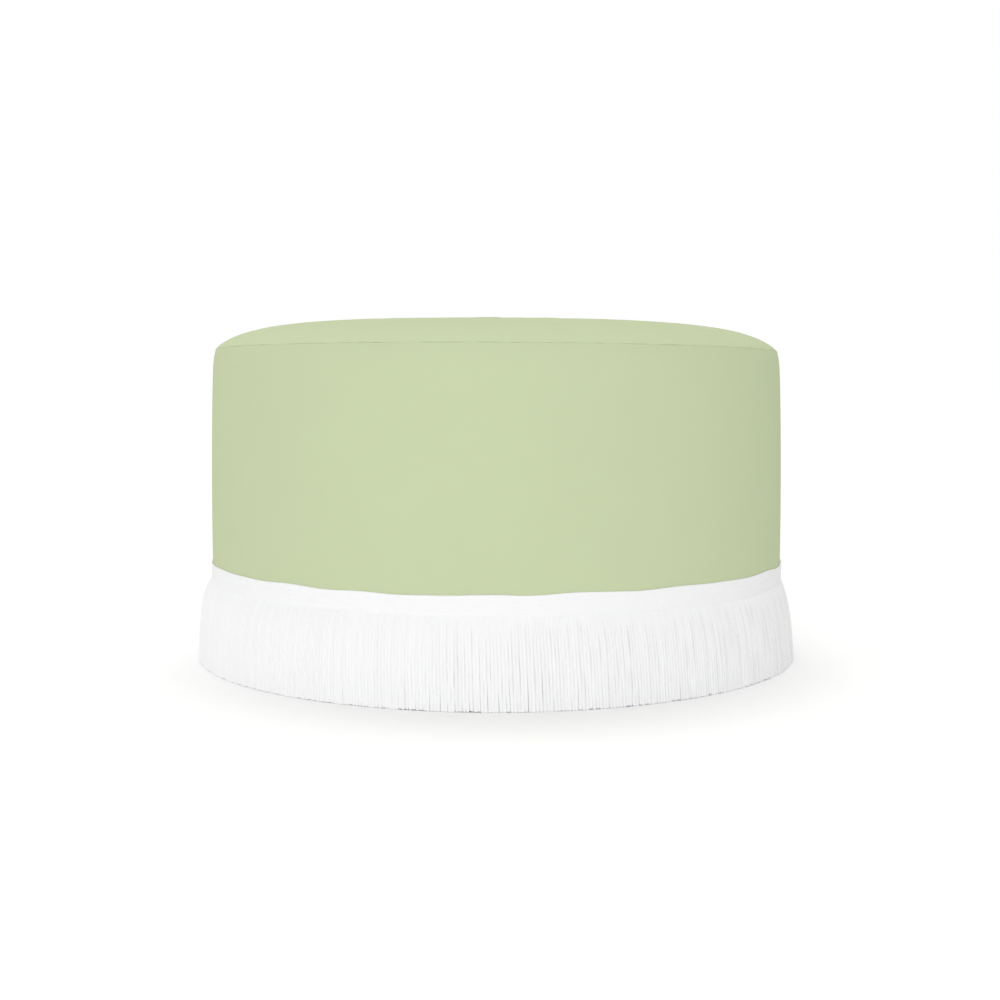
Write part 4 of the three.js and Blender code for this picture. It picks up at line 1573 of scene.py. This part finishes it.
def make_side_wadding():
    """The wadding round the wall, from the base board to the seam."""
    lowest = low("side_wadding").z
    outer_height = np.linspace(lowest + hem_turn, seam_height - crown_clearance, 30)
    outer_radius = side_radius(outer_height) - cloth_thickness - 3 * slack
    bevel_radius, bevel_fall = np.transpose(rim_bevel)
    foot = [wall_radius, outer_radius[0] - hem_turn]
    radius = np.concatenate([foot, outer_radius, bevel_radius, [rail_radius, wall_radius]])
    foot_height = np.full(2, lowest + board_gap)
    ledge_height = np.full(2, foam_base + ledge_gap)
    height = np.concatenate([foot_height, outer_height, seam_height - bevel_fall, ledge_height])
    rest = np.linspace(back_groove_angle, 2 * math.pi - back_groove_angle, 178)
    angle = np.concatenate([back_groove_places / body_radius, rest]) + math.pi / 2
    in_groove = np.abs(angle - math.pi / 2) < back_groove_half_width / body_radius
    groove = np.where(in_groove, back_groove_depth, 0)
    facing_out = (radius > face_radius)[:, None]
    mesh = ring_mesh("side_wadding_pad", radius[:, None] - groove * facing_out, height, angle)
    make_lumpy(mesh, wadding_lump, wadding_lump_size, 2)
    return show(mesh, wadding_fibre, "wadding", "side_wadding")


def make_seat_foam():
    """The moulded block of foam."""
    upper_radius, upper_height = crown_profile(foam_depth, 50)
    wall = np.linspace(foam_base + foam_edge_radius, seam_height, 12)[:-1]
    edge = upper_radius[-1]
    lower_radius = [0, edge * 0.5, edge - foam_edge_radius]
    radius = np.concatenate([lower_radius, np.full(len(wall), edge), upper_radius[::-1]])
    height = np.concatenate([np.full(3, foam_base), wall, upper_height[::-1]])
    mesh = turned_mesh("seat_foam_block", radius, height, 128)
    make_lumpy(mesh, foam_lump, foam_lump_size, 3)
    return show(mesh, foam_cells, "foam", "seat_foam")


seat_wadding = make_crown_wadding()
side_wadding_pad = make_side_wadding()
seat_foam_block = make_seat_foam()

# %% [markdown]
# ## Webbing and deck cloth
# Eight jute straps cross the top ring, each one over and under the others in turn, with smooth bends
# between the crossings. A flat sheet with painted straps would do from afar, but not in a cut model.
# A strap is a ribbon with a rounded edge, bent along its path. It also carries the places across and
# along it in metres, which its woven finish reads. A hessian sheet covers them.

# %% Straps
strap_count = 4
strap_width = 50 * MM
strap_cloth = 1.7 * MM
strap_ramp = 24 * MM
strap_end_inset = 12 * MM
strap_gap = 0.35 * MM
strap_lift = 2.3 * MM
strap_ease = 0.3 * MM
strap_edge = 0.6 * MM
strap_edge_inset = 0.1 * MM
strap_wander = 0.25 * MM
strap_wander_length = 110 * MM
strap_rows = 140


def strap_levels(position, shift, partners):
    """Places along a strap and the height of its lower face there."""
    ring_radius, ring_top = high("top_ring").x, high("top_ring").z
    reach = math.sqrt(ring_radius ** 2 - (abs(position) + strap_width / 2) ** 2) - strap_end_inset
    lowest = ring_top + strap_gap
    half_flat = strap_width / 2 + strap_ease
    places, heights = [-reach, partners[0] - half_flat - strap_ramp], [lowest, lowest]
    for number, partner in enumerate(partners):
        level = lowest + strap_lift if (number + shift) % 2 else lowest
        places += [partner - half_flat, partner + half_flat]
        heights += [level, level]
    places += [partners[-1] + half_flat + strap_ramp, reach]
    heights += [lowest, lowest]
    return np.array(places), np.array(heights)


def smooth_between(at, places, heights):
    """Heights between the given places, eased in and out like a bent strap."""
    number = np.clip(np.searchsorted(places, at, side="right") - 1, 0, len(places) - 2)
    share = np.clip((at - places[number]) / (places[number + 1] - places[number]), 0, 1)
    return heights[number] + (heights[number + 1] - heights[number]) * eased(share)


def strap_section():
    """Places across the strap and heights above its lower face, round the section."""
    across = np.linspace(-1, 1, 15) * (strap_width / 2 - strap_edge)
    lower = np.stack([across, np.zeros(15)], axis=1)
    upper = np.stack([across[::-1], np.full(15, strap_cloth)], axis=1)
    edge = np.array([[strap_width / 2 - strap_edge_inset, strap_cloth / 2]])
    return np.concatenate([lower, edge, upper, edge * (-1, 1)])


def make_strap(name, node, position, shift, partners, turned):
    """One strap. A turned strap runs along Y."""
    places, heights = strap_levels(position, shift, partners)
    along = np.linspace(places[0], places[-1], strap_rows)
    lower = smooth_between(along, places, heights)
    section = strap_section()
    wander = strap_wander * np.sin(along / strap_wander_length + position * 40)
    across = position + section[None, :, 0] + wander[:, None]
    level = lower[:, None] + section[None, :, 1]
    run = np.broadcast_to(along[:, None], across.shape)
    order = (across, run, level) if turned else (run, across, level)
    points = np.stack(order, axis=-1)
    mesh = new_mesh(name, points.reshape(-1, 3), tube_faces(*across.shape, turned))
    keep_values(mesh, "across", np.broadcast_to(section[None, :, 0], across.shape))
    keep_values(mesh, "along", run)
    return show(mesh, webbing_jute, "webbing", node)


def make_webbing():
    """Four straps each way."""
    positions = [middle_of(f"strap_across_{number + 1}")[1] for number in range(strap_count)]
    for i, position in enumerate(positions):
        make_strap(f"strap_x_{i + 1}", f"strap_across_{i + 1}", position, i, positions, False)
        make_strap(f"strap_y_{i + 1}", f"strap_along_{i + 1}", position, i + 1, positions, True)


make_webbing()

# %% Deck cloth
deck_face_height = 344 * MM
deck_thickness = 0.8 * MM
deck_unevenness = 0.12 * MM
deck_cells = 64


def make_deck_cloth():
    """The hessian over the webbing, a disc with faint unevenness."""
    ring, angle = disc_places(deck_cells)
    radius = ring / (deck_cells // 2) * high("deck_cloth").x
    x, y = radius * np.cos(angle), radius * np.sin(angle)
    height = deck_face_height + deck_unevenness * np.sin(x * 70) * np.sin(y * 63)
    points = np.stack([x, y, height], axis=-1).reshape(-1, 3)
    mesh = new_mesh("deck_cloth_sheet", points, [grid_faces(deck_cells + 1, deck_cells + 1)])
    cloth = show(mesh, hessian_jute, "hessian", "deck_cloth")
    thicken(cloth, deck_thickness)
    return cloth


deck_cloth_sheet = make_deck_cloth()

# %% [markdown]
# ## Dust cloth and staples
# The underside is closed by a thin spunbond cloth. Its edge is folded under and stapled over the
# gathers of the cover, and it sags a little between the feet. The solver could do this too, but a sag
# of two millimetres is simpler as a formula of the distance from the feet and the edge. The staples
# are bent wire, pressed in by hand, so they are neither quite square nor quite evenly spaced.

# %% Dust cloth
dust_thickness = 0.35 * MM
dust_gap = 0.1 * MM
dust_rise = 2.2 * MM
dust_sag = 2.2 * MM
dust_step_radius, dust_step_width = 314 * MM, 9 * MM
foot_reach, foot_fade = 30 * MM, 90 * MM
edge_reach, edge_fade = 320 * MM, 70 * MM
fold_insets = np.array([3, 1.2, 0.3, 0]) * MM
back_insets = np.array([0.3, 1.2, 3, 6, 10, 14]) * MM
inner_rings = 36
scallop_depth = 0.8 * MM
wrinkle_height = 0.25 * MM
bolt_hole_radius = 9 * MM
staple_count = 46
foot_spots = [middle_of(f"foot_{number}") for number in range(1, 5)]


def nearest_foot(x, y):
    """Distance to the middle of the nearest foot."""
    return np.min([np.hypot(x - foot_x, y - foot_y) for foot_x, foot_y in foot_spots], axis=0)


def dust_height(radius, x, y, edge_height):
    """Height of the cloth's upper side: level, stepped down at the hem and with a slight sag."""
    inner = low("dust_cloth").z + dust_rise
    step = np.clip((radius - dust_step_radius) / dust_step_width, 0, 1)
    level = inner + (edge_height - inner) * eased(step)
    off_feet = np.clip((nearest_foot(x, y) - foot_reach) / foot_fade, 0, 1)
    free = off_feet * np.clip((edge_reach - radius) / edge_fade, 0, 1)
    return level - dust_sag * free ** 0.8


def make_dust_cloth():
    """The disc of spunbond with its folded edge and holes for the bolts."""
    edge = high("dust_cloth").x
    inner = np.linspace(0, 1, inner_rings + 1)[:-1] * (edge - fold_insets[0])
    rings = np.concatenate([inner, edge - fold_insets, edge - back_insets])
    ring, angle = disc_places(2 * (len(rings) - 1))
    scallop = scallop_depth * np.cos(staple_count * angle) * (ring > inner_rings - 6)
    radius = rings[ring] + scallop
    x, y = radius * np.cos(angle), radius * np.sin(angle)
    lowest = low("dust_cloth").z + dust_gap
    wrinkled = np.clip((ring - 22) / 14, 0, 1) * (ring <= inner_rings)
    upper = dust_height(radius, x, y, lowest) + wrinkle_height * waves(angle, 61, 40, 160) * wrinkled
    on_top = ring < inner_rings + len(fold_insets)
    height = np.where(on_top, upper, lowest + dust_thickness + dust_gap)
    points = np.stack([x, y, height], axis=-1).reshape(-1, 3)
    faces = grid_faces(*ring.shape)[:, ::-1]
    middle = points[faces].mean(axis=1)
    hole = nearest_foot(middle[:, 0], middle[:, 1]) < bolt_hole_radius
    mesh = new_mesh("dust_cloth_sheet", points, [faces[~hole]])
    cloth = show(mesh, dust_cloth_spunbond, "dust_cloth", "dust_cloth")
    thicken(cloth, dust_thickness, 0)
    return cloth


dust_cloth_sheet = make_dust_cloth()

# %% Staples
staple_circle = 330 * MM
staple_half_width = 5 * MM
staple_leg = 6 * MM
staple_bend = 0.5 * MM
staple_bow = 0.1 * MM
wire_half_width, wire_half_thickness = 0.6 * MM, 0.28 * MM


def staple_sections():
    """Corners of the wire at each point of a staple: places along and up it, and across it."""
    half, bend = staple_half_width, staple_bend
    path = np.array([
        [-half, staple_leg], [-half, bend], [-half + bend, 0], [0, -staple_bow],
        [half - bend, 0], [half, bend], [half, staple_leg],
    ])
    toward = np.gradient(path, axis=0)
    toward /= np.linalg.norm(toward, axis=1)[:, None]
    aside = np.stack([-toward[:, 1], toward[:, 0]], axis=1)
    corner = np.array([[-1, -1], [1, -1], [1, 1], [-1, 1]])
    flat = path[:, None] + aside[:, None] * corner[None, :, 1:] * wire_half_thickness
    return flat, np.broadcast_to(corner[None, :, 0] * wire_half_width, flat.shape[:2])


def way(angle):
    """A step of 1 in the direction of an angle."""
    return np.array([math.cos(angle), math.sin(angle)])


def make_staples():
    """Staples round the edge of the dust cloth, as one piece."""
    dice = np.random.default_rng(71)
    flat, depth = staple_sections()
    base = low("dust_cloth").z - dust_gap
    points = []
    for number in range(staple_count):
        angle = (number + 0.5 + dice.normal(0, 0.08)) * 2 * math.pi / staple_count
        twist = angle + math.pi / 2 + dice.normal(0, 0.12)
        centre = (staple_circle + dice.normal(0, 0.8) * MM) * way(angle)
        across = way(twist)[::-1] * (-1, 1)
        place = centre + flat[..., :1] * way(twist) + depth[..., None] * across
        points.append(np.concatenate([place, base + flat[..., 1:]], axis=-1).reshape(-1, 3))
    faces = many_tubes(staple_count, *flat.shape[:2])
    mesh = new_mesh("dust_cloth_staples", np.concatenate(points), faces)
    mesh.shade_flat()
    return show(mesh, zinc_steel_plated, "zinc_steel")


dust_cloth_staples = make_staples()

# %% [markdown]
# ## Feet and glides
# Each foot is turned from wood with a rounded toe, a straight taper and a bead under the board, and a
# nylon glide is nailed into it. A cone with a bevel would come close, but the bead and the holes for
# the bolt and the pin need an outline of their own, as on a lathe. Its corners are written as sizes
# and then rounded, because no turned edge is quite sharp.

# %% Feet and glides
foot_sides, glide_sides = 72, 48
foot_rounding = 1.6 * MM
pin_hole_radius, pin_hole_depth = 1.8 * MM, 10.4 * MM
bolt_bore_radius, bolt_bore_depth = 4.3 * MM, 20.3 * MM
sole_radius, toe_radius, toe_height = 19 * MM, 20 * MM, 2 * MM
neck_radius, neck_drop = 23.4 * MM, 0.8 * MM
bead_height = 7 * MM
bead_radius, bead_edge, bead_chamfer = 25.9 * MM, 1.5 * MM, 1.3 * MM
glide_rounding = 0.5 * MM
glide_corners = np.array([
    [0, 0], [11.6, 0], [13, 1.3], [13, 2.9], [1.5, 2.9], [1.5, 11.5], [0.2, 13], [0, 13],
]) * MM


def rounded_path(corners, radius, steps=4):
    """An outline with its inner corners rounded. Each corner is a radius and a height."""
    corners = np.asarray(corners, float)
    path = [corners[0]]
    for before, corner, after in zip(corners[:-2], corners[1:-1], corners[2:]):
        back, ahead = before - corner, after - corner
        reach = min(radius, 0.45 * np.linalg.norm(back), 0.45 * np.linalg.norm(ahead))
        start = corner + back / np.linalg.norm(back) * reach
        end = corner + ahead / np.linalg.norm(ahead) * reach
        share = np.linspace(0, 1, steps)[:, None]
        path.extend((1 - share) ** 2 * start + 2 * share * (1 - share) * corner + share ** 2 * end)
    path.append(corners[-1])
    return np.transpose(path)


def moved_to(mesh, x, y):
    """The mesh at a foot's or a screw's own place."""
    mesh.transform(Matrix.Translation((x, y, 0)))
    return mesh


def make_foot(number, x, y):
    """One turned foot with holes for its bolt and for the glide's pin."""
    base, top = low(f"foot_{number}").z, high(f"foot_{number}").z
    shoulder = top - bead_height
    outline = rounded_path([
        [0, base + pin_hole_depth], [pin_hole_radius, base + pin_hole_depth], [pin_hole_radius, base],
        [sole_radius, base], [toe_radius, base + toe_height], [neck_radius, shoulder - neck_drop],
        [bead_radius - bead_edge, shoulder], [bead_radius, shoulder + bead_edge],
        [bead_radius, top - bead_chamfer], [bead_radius - bead_chamfer, top],
        [bolt_bore_radius, top], [bolt_bore_radius, top - bolt_bore_depth], [0, top - bolt_bore_depth],
    ], foot_rounding)
    mesh = turned_mesh(f"turned_foot_{number}", *outline, foot_sides)
    return show(moved_to(mesh, x, y), foot_wood_stained, "foot_wood", f"foot_{number}")


def make_glide(number, x, y):
    """One nylon glide with its pin."""
    outline = rounded_path(glide_corners, glide_rounding, 3)
    mesh = turned_mesh(f"nylon_glide_{number}", *outline, glide_sides)
    return show(moved_to(mesh, x, y), nylon_scuffed, "nylon", f"foot_glide_{number}")


for number, (x, y) in enumerate(foot_spots, 1):
    make_foot(number, x, y)
    make_glide(number, x, y)

# %% [markdown]
# ## Bolts, nuts and screws
# A hanger bolt has a wood thread at one end and a machine thread at the other. It holds the foot in
# a tee nut, which is pressed into the base board, and countersunk screws join the board and the ring
# to the posts. A thread is often only a bumpy finish, but these can be taken out and looked at, so
# the threads are real: a turned outline is pushed in by a wave that climbs once in each turn.

# %% Threaded parts
thread_sides, nut_sides = 24, 48
rows_per_thread = 6
rod_pitch, rod_thread = 1.5 * MM, 0.6 * MM
screw_pitch, screw_thread = 2.2 * MM, 0.8 * MM
rod_radius, rod_point, rod_point_length = 3.9 * MM, 0.4 * MM, 3 * MM
rod_chamfer = [0.6 * MM, 0.8 * MM]
nut_bore, nut_barrel, nut_flange = 4.3 * MM, 5.4 * MM, 10.8 * MM
nut_flange_thickness = 1.5 * MM
nut_rounding = 0.35 * MM
screw_steps = np.array([[4.0, 0], [4.7, 0.3], [2.6, 3], [2.5, 45], [0.3, 50]]) * MM
screw_thread_start, screw_thread_end = 15 * MM, 49 * MM


def threaded_mesh(name, radius, height, start, end, pitch, depth):
    """A turned solid along an outline, with a thread cut into it between two heights."""
    order = 1 if height[-1] > height[0] else -1
    length = abs(height[-1] - height[0])
    rows = np.linspace(0, 1, max(2, int(length / (pitch / rows_per_thread))))
    level = height[0] + (height[-1] - height[0]) * rows
    outline = np.interp(level * order, height * order, radius)
    angle = np.arange(thread_sides) * 2 * math.pi / thread_sides
    phase = level[:, None] / pitch - angle[None] / (2 * math.pi)
    groove = depth * np.abs(2 * (phase - np.floor(phase)) - 1)
    inside = (level > min(start, end)) & (level < max(start, end))
    shallower = np.clip(outline / (3 * depth), 0, 1)[:, None]
    grid_radius = outline[:, None] - groove * inside[:, None] * shallower
    points = turned_points(grid_radius, level, thread_sides).reshape(-1, 3)
    return new_mesh(name, points, tube_faces(len(level), thread_sides, order < 0))


def make_hanger_bolt(number, x, y):
    """A rod with a point below and one thread cut along its whole length."""
    base, top = low(f"hanger_bolt_{number}").z, high(f"hanger_bolt_{number}").z
    radius = np.array([rod_point, rod_radius, rod_radius, rod_radius - rod_chamfer[0]])
    height = np.array([base, base + rod_point_length, top - rod_chamfer[1], top])
    name = f"threaded_rod_{number}"
    mesh = threaded_mesh(name, radius, height, base, top, rod_pitch, rod_thread)
    return show(moved_to(mesh, x, y), zinc_steel_plated, "zinc_steel", f"hanger_bolt_{number}")


def make_tee_nut(number, x, y):
    """A flanged nut, pressed into the base board from above."""
    base, top = low(f"tee_nut_{number}").z, high(f"tee_nut_{number}").z
    flange_base = top - nut_flange_thickness
    outline = rounded_path([
        [nut_bore, base], [nut_barrel, base], [nut_barrel, flange_base], [nut_flange, flange_base],
        [nut_flange, top - 0.1 * MM], [nut_barrel - 0.2 * MM, top], [nut_bore, top - 0.6 * MM],
    ], nut_rounding, 3)
    mesh = ring_mesh(f"flanged_nut_{number}", *outline, nut_sides)
    return show(moved_to(mesh, x, y), zinc_steel_plated, "zinc_steel", f"tee_nut_{number}")


def make_screw(node, name):
    """A countersunk wood screw, with its head where the CAD screw has it."""
    points_up = node.startswith("base")
    head, way_on = (low(node).z, 1) if points_up else (high(node).z, -1)
    start, end = head + way_on * screw_thread_start, head + way_on * screw_thread_end
    height = head + way_on * screw_steps[:, 1]
    mesh = threaded_mesh(name, screw_steps[:, 0], height, start, end, screw_pitch, screw_thread)
    return show(moved_to(mesh, *middle_of(node)), zinc_steel_plated, "zinc_steel", node)


for number, (x, y) in enumerate(foot_spots, 1):
    make_hanger_bolt(number, x, y)
    make_tee_nut(number, x, y)
for number in range(1, 7):
    make_screw(f"base_screw_{number}", f"lower_screw_{number}")
    make_screw(f"ring_screw_{number}", f"upper_screw_{number}")

# %% [markdown]
# ## Frame parts that stay as the CAD made them
# The boards, posts and bent panels are cut from sheet and batten with plain faces. They could be
# built again here, but their CAD solids are already right, so they only need their finishes.

# %% Finishes on the CAD nodes
cad_finishes = {
    "top_ring": plywood_birch,
    "base_board": plywood_birch,
    "wall_panel_right": hardboard_pressed,
    "wall_panel_left": hardboard_pressed,
    **{f"post_{number}": pine_planed for number in range(1, 7)},
}
for node, finish in cad_finishes.items():
    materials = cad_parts[node].data.materials
    materials.clear()
    materials.append(finish)
print("finished CAD nodes:", ", ".join(cad_finishes))

# %% [markdown]


# %% [markdown]
# ## Studio
# The photograph has a white ground, a soft shadow and a right side that is a little darker. A real
# studio could be built with boxes and sheets. Here a plain pale floor, an even white sky and three
# very soft far lamps, from the front, the left and the top, give the same light with less noise. They
# are level enough for a colour to render about as it is written. The white of the backdrop only
# shows in the picture and in mirrors, and lights nothing.

# %% Floor, sky and lamps
sky_level = 0.60
floor_albedo = 0.93
floor_white = 1.05
# How far from the object the floor's white lift is dimmed, as painted shade.
floor_shade_reach = 220 * MM
lamps = {
    "front_lamp": {"level": 1.04, "height": 12, "side": -9, "softness": 40},
    "left_lamp": {"level": 0.25, "height": 12, "side": -130, "softness": 40},
    "top_lamp": {"level": 0.80, "height": 74, "side": 180, "softness": 27},
}
floor_sides = 96
floor_rings = 24
floor_radii = (0.2, 60)


def make_floor():
    """A wide floor. In the picture it is white except where the object shades it."""
    radius = np.geomspace(*floor_radii, floor_rings)
    points = turned_points(radius, np.zeros(floor_rings), floor_sides).reshape(-1, 3)
    points = np.concatenate([points, [[0, 0, 0]]])
    column = np.arange(floor_sides)
    after = (column + 1) % floor_sides
    middle = np.stack([column, after, np.full(floor_sides, len(points) - 1)], axis=1)
    faces = grid_faces(floor_rings, floor_sides, True)[:, ::-1]
    mesh = new_mesh("studio_floor", points, [faces, middle])
    thing = bpy.data.objects.new("studio_floor", mesh)
    bpy.context.scene.collection.objects.link(thing)
    mesh.materials.append(make_floor_finish())
    return thing


def light_on_floor():
    """How bright the open floor is lit, by the sky and by the upward part of each lamp."""
    lit = [lamp["level"] * math.sin(math.radians(lamp["height"])) / math.pi for lamp in lamps.values()]
    return sky_level + sum(lit)


def make_floor_finish():
    """Plain pale paint that shows the shadow, lifted to white in the picture and in mirrors."""
    material = bpy.data.materials.new("studio_floor_paint")
    material.use_nodes = True
    tree = material.node_tree
    tree.nodes.clear()
    shaded = add_node(
        tree, "ShaderNodeAmbientOcclusion", {"samples": 16}, Distance=floor_shade_reach,
    )
    missing = floor_white - floor_albedo * light_on_floor()
    lift = calc(tree, "MULTIPLY", seen_by_eye(tree), missing)
    # The occlusion dims the white lift near the object: a painted shade on top of the real shadow.
    lift = calc(tree, "MULTIPLY", lift, shaded.outputs["AO"])
    grey = (floor_albedo, floor_albedo, floor_albedo, 1)
    paint_layer = add_node(tree, "ShaderNodeBsdfDiffuse", Color=grey)
    glow = add_node(tree, "ShaderNodeEmission", Color=(1, 1, 1, 1), Strength=lift)
    both = tree.nodes.new("ShaderNodeAddShader")
    end = tree.nodes.new("ShaderNodeOutputMaterial")
    tree.links.new(paint_layer.outputs[0], both.inputs[0])
    tree.links.new(glow.outputs[0], both.inputs[1])
    clear = add_node(tree, "ShaderNodeBsdfTransparent").outputs[0]
    behind = add_node(tree, "ShaderNodeNewGeometry").outputs["Backfacing"]
    sided = tree.nodes.new("ShaderNodeMixShader")
    for socket, value in zip(sided.inputs, (behind, both.outputs[0], clear)):
        feed(tree, socket, value)
    tree.links.new(sided.outputs[0], end.inputs["Surface"])
    return material


def seen_by_eye(tree):
    """1 for what the camera sees, also by metal and glass, and 0 for what lights the object."""
    path = add_node(tree, "ShaderNodeLightPath").outputs
    mirrored = calc(tree, "MAXIMUM", path["Is Glossy Ray"], path["Is Transmission Ray"])
    return calc(tree, "MAXIMUM", path["Is Camera Ray"], mirrored)


def make_sky():
    """An even sky that the camera, mirrors and glass see as plain white."""
    world = bpy.data.worlds.new("studio_sky")
    world.use_nodes = True
    tree = world.node_tree
    background = tree.nodes["Background"]
    background.inputs["Color"].default_value = (1, 1, 1, 1)
    feed(tree, background.inputs["Strength"], spread(tree, seen_by_eye(tree), 0.0, 1.0, sky_level, 1.0))
    bpy.context.scene.world = world
    return world


def make_lamp(name, level, height, side, softness):
    """A soft far lamp, by its angles in degrees above the floor and from the front."""
    data = bpy.data.lights.new(name, "SUN")
    data.energy = level
    data.angle = math.radians(softness)
    lamp = bpy.data.objects.new(name, data)
    lamp.rotation_euler = (math.radians(90 - height), 0, math.radians(side))
    bpy.context.scene.collection.objects.link(lamp)
    return lamp


studio_floor = make_floor()
studio_sky = make_sky()
for name, values in lamps.items():
    make_lamp(name, **values)
print("floor, sky and lamps are set")
